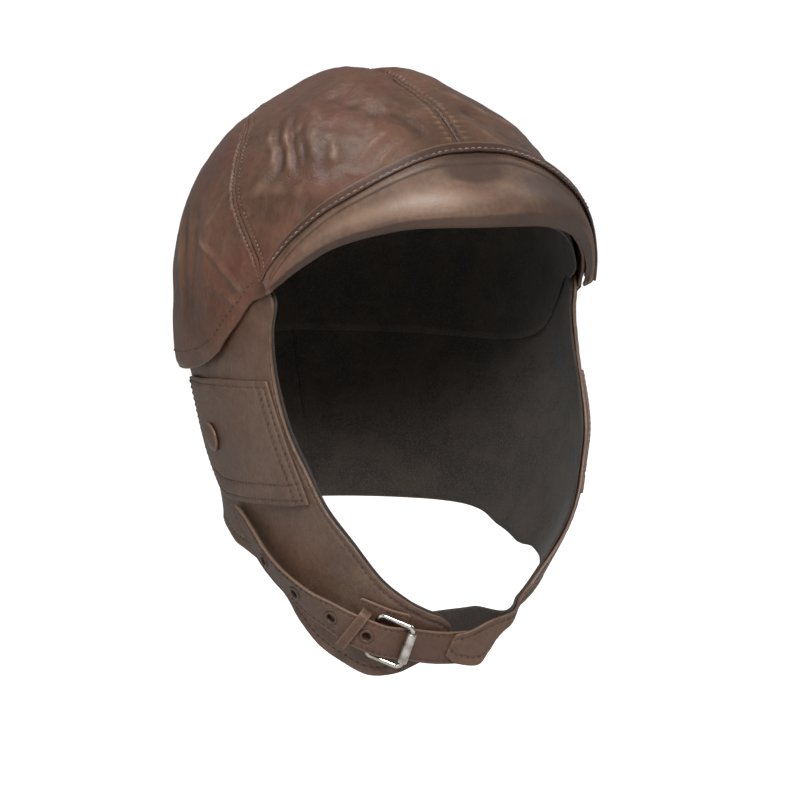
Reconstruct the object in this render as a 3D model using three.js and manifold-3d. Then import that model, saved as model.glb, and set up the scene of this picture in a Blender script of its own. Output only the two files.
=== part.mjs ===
// Leather flying helmet in millimetres, +Z up, face towards -Y, wearer's right at -X.
// The origin is the inside of the crown at its top, where it rests on a head.
import * as THREE from "three";
import { mergeVertices } from "three/addons/utils/BufferGeometryUtils.js";
import Module from "manifold-3d";

const wasm = await Module();
wasm.setup();

// Driving dimensions of the worn form, measured over the leather
const halfWidth = 85; // from the middle to the side of the crown
const frontReach = 113; // from the crown's top forward to the brow
const backReach = 93; // from the crown's top back to the rear of the head
const crownDrop = 120; // from the crown's top down to its hem over the ears

// Sheets and clearances
const leather = 1.5;
const lining = 1;
const gap = 0.3; // between two pieces that touch

// Seams, hems and folds of the crown
const seamDip = 1.3; // how far a sewn seam sinks into the puffed crown
const seamReach = 6; // how far from the seam the leather still dips
const hemUnderlap = 11; // flap leather hidden under the crown's hem
const hemPuff = 2.4; // how far the crown droops out over its hem
const puffReach = 22; // width of the drooping roll above the hem
const foldHeight = 3;
const foldReach = 10;

// Peak
const peakHeight = 31;
const peakFoot = 2; // how far the fold at its foot reaches below the brow
const peakWall = 2.6;
const peakStand = 3.6; // between the crown and the peak's upper edge, past the binding
const peakBulge = 2.4; // roundness above the fold at its foot
const bindingDepth = 4.2;
const bindingWall = 1;

// Flaps and ear panels
const liningShow = 0.2; // lining past the leather of the face edge
const flareLeft = 12.5; // the left flap hangs off the cheek
const flareRight = 2.5;
const earPanelWall = 1.2;
const snapRadius = 6.3;
const snapHeight = 2.4;

// Chin strap and buckle
const strapWidth = 15;
const strapWall = 2.2;
const holeRadius = 2.4;
const eyeletRadius = 3.25;
const eyeletBore = 1.75;
const eyeletRise = 0.6;
const tabWidth = 20;
const tabRaise = 2.5; // how far the tab's middle lies above the strap's
const tabWall = 1.2;
const wireRadius = 1.1;
const rollerRadius = 2.1;
const buckleLength = 15; // between the roller and the bar opposite
const buckleCorner = 2.4; // radius of the wire's bends
const strapPlay = 0.9; // beside the strap inside the buckle
const strapSlack = 0.6; // over and under the strap where the buckle holds it
const keeperWidth = 4.5;
const keeperWall = 1.1;
const keeperSlack = 1; // room around the strap inside the keeper, which lies askew

const liningRoom = seamDip + 2 * gap; // between the crown's leather and its lining
const apex = leather + liningRoom + lining;
const flapOuter = -leather - gap; // the flap lies one layer under the crown
const flapInner = flapOuter - leather;
const backTurn = 180; // degrees from the face to the middle of the back
const rad = Math.PI / backTurn;

// Level sections of the form as shares of the driving dimensions, from the top down.
// square is the power of the section's curve: 2 is an ellipse, more is squarer.
const sections = [
  { drop: 0, width: 0, front: 0, back: 0, square: 2 },
  { drop: 0.02, width: 0.142, front: 0.156, back: 0.24, square: 2 },
  { drop: 0.09, width: 0.362, front: 0.362, back: 0.495, square: 2 },
  { drop: 0.2, width: 0.625, front: 0.615, back: 0.7, square: 2 },
  { drop: 0.345, width: 0.82, front: 0.81, back: 0.83, square: 2 },
  { drop: 0.49, width: 0.925, front: 0.915, back: 0.91, square: 2 },
  { drop: 0.71, width: 1, front: 1, back: 0.99, square: 2 },
  { drop: 0.85, width: 0.995, front: 1, back: 0.98, square: 2 },
  { drop: 1, width: 0.98, front: 0.985, back: 0.935, square: 2 },
  { drop: 1.29, width: 0.9, front: 0.96, back: 0.81, square: 2 },
  { drop: 1.58, width: 0.805, front: 0.93, back: 0.67, square: 2.1 },
  { drop: 1.82, width: 0.765, front: 0.8, back: 0.64, square: 2.4 },
  { drop: 2.04, width: 0.72, front: 0.7, back: 0.62, square: 2.5 },
  { drop: 2.2, width: 0.68, front: 0.67, back: 0.6, square: 2.5 },
];

// Lines on the form: turn in degrees from the face towards the side, drop as a share of crownDrop
const sideSeam = [
  { turn: 62.4, drop: 0.775 },
  { turn: 64.2, drop: 0.712 },
  { turn: 66.5, drop: 0.655 },
  { turn: 70, drop: 0.588 },
  { turn: 75.7, drop: 0.49 },
  { turn: 80.5, drop: 0.39 },
  { turn: 84.8, drop: 0.316 },
  { turn: 88.5, drop: 0.262 },
  { turn: 96, drop: 0.218 },
  { turn: 112, drop: 0.185 },
  { turn: 132, drop: 0.155 },
  { turn: 154, drop: 0.125 },
  { turn: 174, drop: 0.108 },
];
const hem = [
  { turn: 62.9, drop: 0.803 },
  { turn: 67.7, drop: 0.83 },
  { turn: 71.3, drop: 0.89 },
  { turn: 75.9, drop: 0.958 },
  { turn: 80.2, drop: 1.018 },
  { turn: 90, drop: 1.07 },
  { turn: 110, drop: 1.09 },
  { turn: 145, drop: 1.08 },
  { turn: 180, drop: 1.07 },
];
const brow = [
  { turn: 0, drop: 0.54 },
  { turn: 12, drop: 0.54 },
  { turn: 23, drop: 0.545 },
  { turn: 34, drop: 0.57 },
  { turn: 44, drop: 0.612 },
  { turn: 52, drop: 0.678 },
  { turn: 58, drop: 0.738 },
  { turn: 62.4, drop: 0.775 },
];
// Peak from its middle to its end: height and stand are shares of peakHeight and peakStand
const peakRows = [
  { turn: 0, height: 1, stand: 1, bulge: 1 },
  { turn: 12, height: 0.957, stand: 1, bulge: 1 },
  { turn: 24, height: 0.82, stand: 0.95, bulge: 1 },
  { turn: 36, height: 0.66, stand: 0.7, bulge: 0.9 },
  { turn: 46, height: 0.535, stand: 0.5, bulge: 0.75 },
  { turn: 54, height: 0.445, stand: 0.3, bulge: 0.4 },
  { turn: 59, height: 0.31, stand: 0.15, bulge: 0.15 },
  { turn: 61.5, height: 0.16, stand: 0.1, bulge: 0.05 },
];

// Flaps from the chin end up the face edge to the temple: upper is the face edge and
// lower the bottom edge. Behind the temple the upper edge runs under the crown's hem.
const flapRight = [
  { upper: 1.6, upperDrop: 1.965, lower: 1.4, lowerDrop: 2.03 },
  { upper: 4.7, upperDrop: 1.935, lower: 6, lowerDrop: 2.07 },
  { upper: 10.6, upperDrop: 1.91, lower: 12, lowerDrop: 2.1 },
  { upper: 19.2, upperDrop: 1.868, lower: 21, lowerDrop: 2.13 },
  { upper: 31, upperDrop: 1.79, lower: 33.4, lowerDrop: 2.135 },
  { upper: 42.2, upperDrop: 1.675, lower: 46, lowerDrop: 2.085 },
  { upper: 51.8, upperDrop: 1.547, lower: 56, lowerDrop: 2.028 },
  { upper: 56.6, upperDrop: 1.4, lower: 64.6, lowerDrop: 1.952 },
  { upper: 60.5, upperDrop: 1.25, lower: 69, lowerDrop: 1.89 },
  { upper: 62.5, upperDrop: 1.08, lower: 73, lowerDrop: 1.84 },
  { upper: 62.7, upperDrop: 0.92, lower: 77, lowerDrop: 1.79 },
  { upper: 62, upperDrop: 0.81, lower: 81, lowerDrop: 1.762 },
];
const flapLeft = [
  { upper: -1.2, upperDrop: 1.975, lower: -3.2, lowerDrop: 2.06 },
  { upper: 2, upperDrop: 1.962, lower: 0.5, lowerDrop: 2.095 },
  { upper: 7.5, upperDrop: 1.932, lower: 6, lowerDrop: 2.1 },
  { upper: 15, upperDrop: 1.915, lower: 9, lowerDrop: 2.052 },
  { upper: 27, upperDrop: 1.885, lower: 14, lowerDrop: 1.978 },
  { upper: 39, upperDrop: 1.77, lower: 36.5, lowerDrop: 1.886 },
  { upper: 50.6, upperDrop: 1.6, lower: 54.5, lowerDrop: 1.82 },
  { upper: 56.2, upperDrop: 1.4, lower: 63, lowerDrop: 1.79 },
  { upper: 60.5, upperDrop: 1.25, lower: 69, lowerDrop: 1.775 },
  { upper: 62.5, upperDrop: 1.08, lower: 73, lowerDrop: 1.765 },
  { upper: 62.7, upperDrop: 0.92, lower: 77, lowerDrop: 1.762 },
  { upper: 62, upperDrop: 0.81, lower: 81, lowerDrop: 1.762 },
];
// The left lining reaches past its leather under the chin and ends behind the right flap
const liningLeft = [
  { upper: -6, upperDrop: 1.925, lower: -6, lowerDrop: 2.03 },
  { upper: 3, upperDrop: 1.932, lower: 2, lowerDrop: 2.05 },
  { upper: 10, upperDrop: 1.925, lower: 7, lowerDrop: 2.05 },
  { upper: 18, upperDrop: 1.905, lower: 10.5, lowerDrop: 2.03 },
  { upper: 28.5, upperDrop: 1.885, lower: 15, lowerDrop: 1.97 },
  { upper: 39.5, upperDrop: 1.785, lower: 37, lowerDrop: 1.88 },
  { upper: 50.6, upperDrop: 1.605, lower: 54.5, lowerDrop: 1.82 },
  ...flapLeft.slice(7),
];
const neckline = [
  { upper: 67.5, lower: 86, lowerDrop: 1.738 },
  { upper: 76, lower: 92, lowerDrop: 1.71 },
  { upper: 90, lower: 100, lowerDrop: 1.676 },
  { upper: 106, lower: 112, lowerDrop: 1.655 },
  { upper: 124, lower: 127, lowerDrop: 1.645 },
  { upper: 142, lower: 144, lowerDrop: 1.64 },
  { upper: 161, lower: 162, lowerDrop: 1.635 },
  { upper: 180, lower: 180, lowerDrop: 1.63 },
];
const earPanel = [
  { upper: 64.2, upperDrop: 1.1, lower: 56.8, lowerDrop: 1.522 },
  { upper: 68.6, upperDrop: 1.105, lower: 63, lowerDrop: 1.535 },
  { upper: 77.5, upperDrop: 1.11, lower: 72, lowerDrop: 1.541 },
  { upper: 86, upperDrop: 1.115, lower: 82, lowerDrop: 1.55 },
  { upper: 93, upperDrop: 1.12, lower: 91, lowerDrop: 1.546 },
  { upper: 99, upperDrop: 1.12, lower: 98.5, lowerDrop: 1.52 },
  { upper: 104, upperDrop: 1.125, lower: 104, lowerDrop: 1.465 },
  { upper: 108, upperDrop: 1.13, lower: 107.5, lowerDrop: 1.375 },
];
const snapPlace = { turn: 90, drop: 1.325 };

// Folds of the crown as ridges and hollows: side is -1 for the wearer's right,
// reach and height are shares of foldReach and foldHeight.
const crownFolds = [
  { side: -1, turn: 66, drop: 0.2, toTurn: 68, toDrop: 0.42, reach: 0.45, height: 0.75 },
  { side: -1, turn: 58, drop: 0.19, toTurn: 61, toDrop: 0.4, reach: 0.45, height: 0.7 },
  { side: -1, turn: 74, drop: 0.24, toTurn: 75, toDrop: 0.4, reach: 0.4, height: 0.6 },
  { side: -1, turn: 62, drop: 0.21, toTurn: 64, toDrop: 0.4, reach: 0.35, height: -0.6 },
  { side: -1, turn: 70, drop: 0.22, toTurn: 72, toDrop: 0.42, reach: 0.35, height: -0.6 },
  { side: -1, turn: 26, drop: 0.12, toTurn: 10, toDrop: 0.26, reach: 0.9, height: -0.8 },
  { side: -1, turn: 40, drop: 0.29, toTurn: 24, toDrop: 0.16, reach: 0.5, height: 0.6 },
  { side: -1, turn: 72, drop: 0.46, toTurn: 46, toDrop: 0.42, reach: 0.7, height: 0.6 },
  { side: -1, turn: 90, drop: 0.5, toTurn: 84, toDrop: 0.72, reach: 0.6, height: 0.7 },
  { side: -1, turn: 84, drop: 0.72, toTurn: 71, toDrop: 0.85, reach: 0.5, height: 0.6 },
  { side: -1, turn: 110, drop: 0.46, toTurn: 112, toDrop: 0.9, reach: 0.7, height: 0.3 },
  { side: -1, turn: 128, drop: 0.4, toTurn: 132, toDrop: 0.85, reach: 0.8, height: 0.35 },
  { side: 1, turn: 60, drop: 0.2, toTurn: 66, toDrop: 0.42, reach: 0.5, height: 0.7 },
  { side: 1, turn: 70, drop: 0.24, toTurn: 73, toDrop: 0.42, reach: 0.4, height: 0.6 },
  { side: 1, turn: 20, drop: 0.06, toTurn: 38, toDrop: 0.22, reach: 0.9, height: 0.15 },
  { side: 1, turn: 92, drop: 0.45, toTurn: 86, toDrop: 0.8, reach: 0.6, height: 0.6 },
  { side: 1, turn: 124, drop: 0.42, toTurn: 128, toDrop: 0.88, reach: 0.8, height: 0.7 },
];

const chinLift = 0.7; // how far the strap stands off at the chin, in strap walls
// Chin strap from its tip on the right flap to its end sewn inside the left one: turn is negative
// on the right, lift is the clearance of its lower edge over the flap in strap walls,
// lean turns its upper edge off the flap in degrees, width is a share of strapWidth.
const strapRows = [
  { turn: -86.5, drop: 1.572, lift: 0.35, lean: 0, width: 0.15 },
  { turn: -84, drop: 1.603, lift: 0.35, lean: 6, width: 0.48 },
  { turn: -79.2, drop: 1.661, lift: 0.35, lean: 14, width: 0.74 },
  { turn: -74, drop: 1.728, lift: 0.35, lean: 19, width: 0.86 },
  { turn: -68.2, drop: 1.782, lift: 0.35, lean: 22, width: 0.92 },
  { turn: -61.6, drop: 1.829, lift: 0.4, lean: 22, width: 0.96 },
  { turn: -54.4, drop: 1.87, lift: 0.8, lean: 18, width: 1 },
  { turn: -47.2, drop: 1.9, lift: 1.4, lean: 11, width: 1 },
  { turn: -40, drop: 1.932, lift: 2, lean: 5, width: 1 },
  { turn: -33.4, drop: 1.957, lift: 2.4, lean: 1, width: 1 },
  { turn: -27, drop: 1.98, lift: 2.4, lean: 0, width: 1 },
  { turn: -20.5, drop: 1.997, lift: 1.6, lean: 0, width: 1 },
  { turn: -14, drop: 2.012, lift: 0.9, lean: 0, width: 1 },
  { turn: -7, drop: 2.026, lift: chinLift, lean: 0, width: 1 },
  { turn: -1, drop: 2.032, lift: chinLift, lean: 0, width: 1 },
  { turn: 4, drop: 2.03, lift: chinLift, lean: 0, width: 1 },
  { turn: 8, drop: 2.022, lift: chinLift, lean: 0, width: 1 },
];
const holeTurns = [-73.2, -60.8, -46, -32.4]; // where the holes lie on the free end
const keeperTurn = -37.6;
const keeperSkew = 14; // degrees between the keeper and a line straight across the strap
const rollerTurn = -17.7;
const tabTurns = [-40, -19];

// Curve through a row list: the value of one column at row number t
function along(rows, column, t) {
  const last = rows.length - 1;
  const i = Math.min(Math.max(Math.floor(t), 0), last - 1);
  const at = (k) => rows[Math.min(Math.max(k, 0), last)][column];
  const s = t - i;
  const slope0 = (at(i + 1) - at(i - 1)) / (i > 0 ? 2 : 1);
  const slope1 = (at(i + 2) - at(i)) / (i + 1 < last ? 2 : 1);
  const s2 = s * s;
  const s3 = s2 * s;
  return (
    (2 * s3 - 3 * s2 + 1) * at(i) +
    (s3 - 2 * s2 + s) * slope0 +
    (3 * s2 - 2 * s3) * at(i + 1) +
    (s3 - s2) * slope1
  );
}

// Level section of the form at a drop in millimetres under the top
const depths = sections.map((row) => Math.sqrt(row.drop));
function sectionAt(drop) {
  const last = sections.length - 1;
  const depth = Math.min(Math.sqrt(Math.max(drop, 0) / crownDrop), depths[last]);
  let i = 0;
  while (i < last - 1 && depths[i + 1] <= depth) i += 1;
  const span = depths[i + 1] - depths[i];
  const s = (depth - depths[i]) / span;
  const value = (column) => {
    const at = (k) => sections[k][column];
    const slope = (k) => {
      const low = Math.max(k - 1, 0);
      const high = Math.min(k + 1, last);
      return ((at(high) - at(low)) / (depths[high] - depths[low])) * span;
    };
    const s2 = s * s;
    const s3 = s2 * s;
    return (
      (2 * s3 - 3 * s2 + 1) * at(i) +
      (s3 - 2 * s2 + s) * slope(i) +
      (3 * s2 - 2 * s3) * at(i + 1) +
      (s3 - s2) * slope(i + 1)
    );
  };
  return {
    width: value("width") * halfWidth,
    front: value("front") * frontReach,
    back: value("back") * backReach,
    square: value("square"),
  };
}

// Point of the form at a turn in degrees and a drop in millimetres
function formPoint(side, turn, drop) {
  const { width, front, back, square } = sectionAt(drop);
  const sine = Math.sign(turn) * Math.abs(Math.sin(turn * rad)) ** (2 / square);
  const cosine = Math.cos(turn * rad);
  const reach = cosine > 0 ? -front : back;
  return new THREE.Vector3(
    side * width * sine,
    reach * Math.abs(cosine) ** (2 / square),
    apex - drop,
  );
}

// 1 on the form, less inside it
function level(point) {
  const drop = apex - point.z;
  if (drop <= 0) return 2 - drop;
  const { width, front, back, square } = sectionAt(drop);
  const reach = point.y < 0 ? front : back;
  return (Math.abs(point.x / width) ** square + Math.abs(point.y / reach) ** square) ** (1 / square);
}

const normalStep = 0.2;
function formNormal(point) {
  if (apex - point.z < 2 * normalStep) return new THREE.Vector3(0, 0, 1);
  const slope = new THREE.Vector3();
  for (const axis of ["x", "y", "z"]) {
    const ahead = point.clone();
    const behind = point.clone();
    ahead[axis] += normalStep;
    behind[axis] -= normalStep;
    slope[axis] = level(ahead) - level(behind);
  }
  return slope.normalize();
}

// The crown's middle, from which its front panels are laid out as on a globe
const widest = sections.reduce((best, row) => (row.width > best.width ? row : best));
const middle = new THREE.Vector3(0, 0, apex - widest.drop * crownDrop);
const globeReach = 2 * (frontReach + crownDrop);
const halvings = 34; // steps of each search
function onForm(direction) {
  let inner = 0;
  let outer = globeReach;
  const point = new THREE.Vector3();
  for (let i = 0; i < halvings; i += 1) {
    const half = (inner + outer) / 2;
    point.copy(middle).addScaledVector(direction, half);
    if (level(point) < 1) inner = half;
    else outer = half;
  }
  return point;
}
function globeAngles(point) {
  const to = point.clone().sub(middle).normalize();
  return { across: Math.asin(Math.abs(to.x)), over: Math.atan2(to.z, -to.y) };
}
function globePoint(side, over, across) {
  const flat = Math.cos(across);
  return onForm(
    new THREE.Vector3(side * Math.sin(across), -flat * Math.cos(over), flat * Math.sin(over)),
  );
}

// Height of the ridges and hollows at a point of the crown
const foldEnds = crownFolds.map((fold) => ({
  ...fold,
  from: formPoint(fold.side, fold.turn, fold.drop * crownDrop),
  to: formPoint(fold.side, fold.toTurn, fold.toDrop * crownDrop),
}));
const nearest = new THREE.Vector3();
function foldRelief(point, normal) {
  let height = 0;
  for (const fold of foldEnds) {
    const line = new THREE.Line3(fold.from, fold.to);
    line.closestPointToPoint(point, true, nearest);
    nearest.sub(point);
    nearest.addScaledVector(normal, -nearest.dot(normal));
    const away = nearest.length() / (fold.reach * foldReach);
    height += fold.height * foldHeight * Math.exp(-away * away);
  }
  return height;
}

// Closed sheet: rows of points with their normals, thickened between two offsets
function sheet(rows, outer, inner) {
  const across = rows[0].length;
  const points = [];
  for (const offset of [outer, inner]) {
    for (const row of rows) {
      for (const { point, normal, relief } of row) {
        points.push(point.clone().addScaledVector(normal, offset + relief));
      }
    }
  }
  const back = rows.length * across;
  const faces = [];
  const quad = (a, b, c, d) => faces.push(a, b, c, a, c, d);
  for (let i = 0; i + 1 < rows.length; i += 1) {
    for (let j = 0; j + 1 < across; j += 1) {
      const a = i * across + j;
      quad(a, a + 1, a + across + 1, a + across);
      quad(back + a, back + a + across, back + a + across + 1, back + a + 1);
    }
  }
  for (let i = 0; i + 1 < rows.length; i += 1) {
    const low = i * across;
    const high = low + across - 1;
    quad(low, low + across, back + low + across, back + low);
    quad(high + across, high, back + high, back + high + across);
  }
  const lastRow = (rows.length - 1) * across;
  for (let j = 0; j + 1 < across; j += 1) {
    quad(j + 1, j, back + j, back + j + 1);
    quad(lastRow + j, lastRow + j + 1, back + lastRow + j + 1, back + lastRow + j);
  }
  return closedGeometry(points, faces);
}

// Geometry of a closed surface with its faces turned outwards
function closedGeometry(points, faces) {
  let volume = 0;
  const normal = new THREE.Vector3();
  for (let i = 0; i < faces.length; i += 3) {
    const [a, b, c] = [points[faces[i]], points[faces[i + 1]], points[faces[i + 2]]];
    volume += a.dot(normal.crossVectors(b, c));
  }
  if (volume < 0) faces.reverse();
  const geometry = new THREE.BufferGeometry().setFromPoints(points);
  geometry.setIndex(faces);
  return geometry;
}

function solid(geometry) {
  const bare = geometry.clone();
  bare.deleteAttribute("normal");
  bare.deleteAttribute("uv");
  const merged = mergeVertices(bare, 1e-4);
  return new wasm.Manifold(
    new wasm.Mesh({
      numProp: 3,
      vertProperties: merged.getAttribute("position").array,
      triVerts: new Uint32Array(merged.index.array),
    }),
  );
}
function geometryOf(made) {
  const mesh = made.getMesh();
  const geometry = new THREE.BufferGeometry();
  geometry.setAttribute("position", new THREE.BufferAttribute(mesh.vertProperties, 3));
  geometry.setIndex(new THREE.BufferAttribute(mesh.triVerts, 1));
  return geometry;
}

// Materials
function material(color, roughness, metalness = 0) {
  return new THREE.MeshStandardMaterial({ color, roughness, metalness });
}
const crownLeather = () => material(0x6b5142, 0.42);
const flapLeather = () => material(0x62503f, 0.45);
const strapLeather = () => material(0x5d4b3e, 0.5);
const liningCloth = () => material(0x2e2823, 0.9);
const polishedSteel = () => material(0xb9b4ab, 0.2, 1);

const helmet = new THREE.Group();
const sides = [
  { name: "right", side: -1, rows: flapRight, inside: flapRight, flare: flareRight },
  { name: "left", side: 1, rows: flapLeft, inside: liningLeft, flare: flareLeft },
];
function add(name, geometry, finish) {
  const mesh = new THREE.Mesh(geometry, finish);
  mesh.name = name;
  helmet.add(mesh);
  return mesh;
}

// How much a seam at this distance pulls the leather in
function seamPull(distance) {
  const share = distance / seamReach;
  return -seamDip * Math.exp(-share * share);
}

// Crown front panels: rows run from the brow over the top to the back junction
const seamRows = 22;
const frontAcross = 11;
const seamEnd = sideSeam.at(-1);
function frontGrid(side) {
  const start = globeAngles(formPoint(side, brow[0].turn, brow[0].drop * crownDrop));
  const end = globeAngles(formPoint(side, backTurn, seamEnd.drop * crownDrop));
  const rows = [];
  for (let i = 0; i <= seamRows; i += 1) {
    const t = i / seamRows;
    const seamRow = t * (sideSeam.length - 1);
    const turn = along(sideSeam, "turn", seamRow);
    const drop = along(sideSeam, "drop", seamRow) * crownDrop;
    const rim = globeAngles(formPoint(side, turn, drop));
    const over = start.over + (end.over - start.over) * t;
    const row = [];
    for (let j = 0; j <= frontAcross; j += 1) {
      const w = j / frontAcross;
      const browRow = w * (brow.length - 1);
      const browDrop = along(brow, "drop", browRow) * crownDrop;
      const browAt = globeAngles(formPoint(side, along(brow, "turn", browRow), browDrop));
      row.push(frontPoint(side, t, w, over, rim, browAt, start));
    }
    rows.push(row);
  }
  return trimmed(rows);
}
// A front point blends the straight layout with the curve of the brow near the brow
function frontPoint(side, t, w, over, rim, browAt, start) {
  const fade = (1 - t) ** 3;
  const first = rimStart(side);
  const corner = { over: start.over + (first.over - start.over) * w, across: first.across * w };
  const plainOver = over + (rim.over - over) * w;
  const plainAcross = rim.across * w;
  return globePoint(
    side,
    plainOver + (browAt.over - corner.over) * fade,
    plainAcross + (browAt.across - corner.across) * fade,
  );
}
function rimStart(side) {
  return globeAngles(formPoint(side, sideSeam[0].turn, sideSeam[0].drop * crownDrop));
}
// Pulls the border of a grid in by half a seam gap
function trimmed(rows) {
  const grid = rows.map((row) => row.map((point) => point.clone()));
  const last = rows.length - 1;
  const far = rows[0].length - 1;
  const pull = (target, towards) => {
    const way = towards.clone().sub(target);
    target.addScaledVector(way.normalize(), gap / 2);
  };
  for (let i = 0; i <= last; i += 1) {
    pull(grid[i][0], rows[i][1]);
    pull(grid[i][far], rows[i][far - 1]);
  }
  for (let j = 0; j <= far; j += 1) {
    pull(grid[0][j], rows[1][j]);
    pull(grid[last][j], rows[last - 1][j]);
  }
  return grid;
}
function smooth(t) {
  const s = Math.min(Math.max(t, 0), 1);
  return s * s * (3 - 2 * s);
}
function turnOf(point) {
  const { width, front, back } = sectionAt(apex - point.z);
  const reach = point.y < 0 ? front : back;
  return Math.atan2(Math.abs(point.x) / width, -point.y / reach) / rad;
}
// Distance from a point to a line of points, measured along the surface
function distanceTo(line, point, normal) {
  let best = Infinity;
  for (let k = 0; k + 1 < line.length; k += 1) {
    new THREE.Line3(line[k], line[k + 1]).closestPointToPoint(point, true, nearest);
    nearest.sub(point);
    nearest.addScaledVector(normal, -nearest.dot(normal));
    best = Math.min(best, nearest.length());
  }
  return best;
}
const seamSteps = 24;
const puffTurn = { from: 66, over: 16 }; // the hem droops past this turn, fully after so many degrees
function lineOf(side, rows) {
  const line = [];
  for (let i = 0; i <= seamSteps; i += 1) {
    const t = (i / seamSteps) * (rows.length - 1);
    line.push(formPoint(side, along(rows, "turn", t), along(rows, "drop", t) * crownDrop));
  }
  return line;
}
function crownRows(side, grid) {
  const hemLine = lineOf(side, hem);
  const seamLine = lineOf(side, sideSeam);
  return grid.map((row) =>
    row.map((point) => {
      const normal = formNormal(point);
      const toHem = distanceTo(hemLine, point, normal);
      const away = toHem / puffReach;
      const pull = seamPull(Math.abs(point.x)) + seamPull(distanceTo(seamLine, point, normal));
      const sunk = Math.max(foldRelief(point, normal) + pull, -seamDip);
      const clear = smooth((toHem - hemUnderlap) / seamReach); // the flap lies close beneath
      const puff = hemPuff * Math.exp(-away * away) * smooth((turnOf(point) - puffTurn.from) / puffTurn.over);
      return { point, normal, relief: (sunk < 0 ? sunk * clear : sunk) + puff };
    }),
  );
}

const sideAcross = 9;
const sideBunching = 1.35; // points lie closer together where the crown is rounder
function sideGrid(side) {
  const rows = [];
  for (let i = 0; i <= seamRows + 1; i += 1) {
    const top = (Math.min(i, seamRows) / seamRows) * (sideSeam.length - 1);
    const low = (i / (seamRows + 1)) * (hem.length - 1);
    const topTurn = i > seamRows ? backTurn : along(sideSeam, "turn", top);
    const topDrop = along(sideSeam, "drop", top);
    const lowTurn = along(hem, "turn", low);
    const lowDrop = along(hem, "drop", low);
    const row = [];
    for (let j = 0; j <= sideAcross; j += 1) {
      const w = (j / sideAcross) ** sideBunching;
      const drop = topDrop + (lowDrop - topDrop) * w;
      row.push(formPoint(side, topTurn + (lowTurn - topTurn) * w, drop * crownDrop));
    }
    rows.push(row);
  }
  return trimmed(rows);
}
for (const { name, side } of sides) {
  const front = crownRows(side, frontGrid(side));
  add(`crown_front_${name}`, sheet(front, 0, -leather), crownLeather());
  const rear = crownRows(side, sideGrid(side));
  add(`crown_side_${name}`, sheet(rear, 0, -leather), crownLeather());
}

// Row number at which a column that only grows reaches a value
function rowAt(rows, column, value) {
  let low = 0;
  let high = rows.length - 1;
  for (let i = 0; i < halvings; i += 1) {
    const half = (low + high) / 2;
    if (along(rows, column, half) < value) low = half;
    else high = half;
  }
  return low;
}
function dropAt(rows, turn) {
  return along(rows, "drop", rowAt(rows, "turn", turn)) * crownDrop;
}

// How far a flap hangs off the head. At the chin the left leather lies over the strap
// and the left lining under the right flap.
const chinOver = (1 + chinLift) * strapWall + gap + leather;
const chinUnder = leather + lining + 3 * gap;
// Turns in degrees, drops as shares of crownDrop; over is how far each one takes to build up
const hangFront = { from: 0, over: 55 };
const hangBack = { from: 104, over: 44 };
const hangTop = { from: 0.85, over: 0.5 };
const hangFoot = { from: 1.5, over: 0.42 };
const overChin = { from: 28, over: 13 };
const underChin = { from: 15, over: 9 };
// 0 before the span and 1 after it, or the other way round
function after(span, value) {
  return smooth((value - span.from) / span.over);
}
function before(span, value) {
  return smooth((span.from - value) / span.over);
}
function hangOf(flare, turn, drop) {
  const share = drop / crownDrop;
  const low = after(hangTop, share) * (1 - after(hangFoot, share));
  return flare * before(hangBack, turn) * low * after(hangFront, turn);
}
function leatherHang(side, flare, turn, drop) {
  const over = side > 0 ? chinOver * before(overChin, turn) : 0;
  return hangOf(flare, turn, drop) + over;
}
function liningHang(side, flare, turn, drop) {
  const under = side > 0 ? chinUnder * before(underChin, turn) : 0;
  return hangOf(flare, turn, drop) - under;
}

// A patch between an upper and a lower edge on the form, standing off it by its hang
function patch(side, flare, table, steps, across, hang, upperDrop) {
  const rows = [];
  for (let i = 0; i <= steps; i += 1) {
    const t = (i / steps) * (table.length - 1);
    const top = { turn: along(table, "upper", t), drop: along(table, "upperDrop", t) * crownDrop };
    if (upperDrop) top.drop = upperDrop(t, top);
    const low = { turn: along(table, "lower", t), drop: along(table, "lowerDrop", t) * crownDrop };
    const row = [];
    for (let j = 0; j <= across; j += 1) {
      const w = j / across;
      const turn = top.turn + (low.turn - top.turn) * w;
      const drop = top.drop + (low.drop - top.drop) * w;
      const point = formPoint(side, turn, drop);
      row.push({ point, normal: formNormal(point), relief: hang(side, flare, turn, drop) });
    }
    rows.push(row);
  }
  return rows;
}
// Moves the two ends of a row outwards along it
function moved(row, upper, lower) {
  const shift = (k, next, amount) => {
    const way = row[k].point.clone().sub(row[next].point).normalize();
    return { ...row[k], point: row[k].point.clone().addScaledVector(way, amount) };
  };
  const last = row.length - 1;
  return [shift(0, 1, upper), ...row.slice(1, last), shift(last, last - 1, lower)];
}

const flapSteps = 26;
const flapAcross = 5;
function underHem(turn) {
  return dropAt(hem, turn) - hemUnderlap;
}
function flapTable(rows) {
  const behind = neckline.map((row) => ({ ...row, upperDrop: underHem(row.upper) / crownDrop }));
  return [...rows, ...behind];
}
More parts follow.
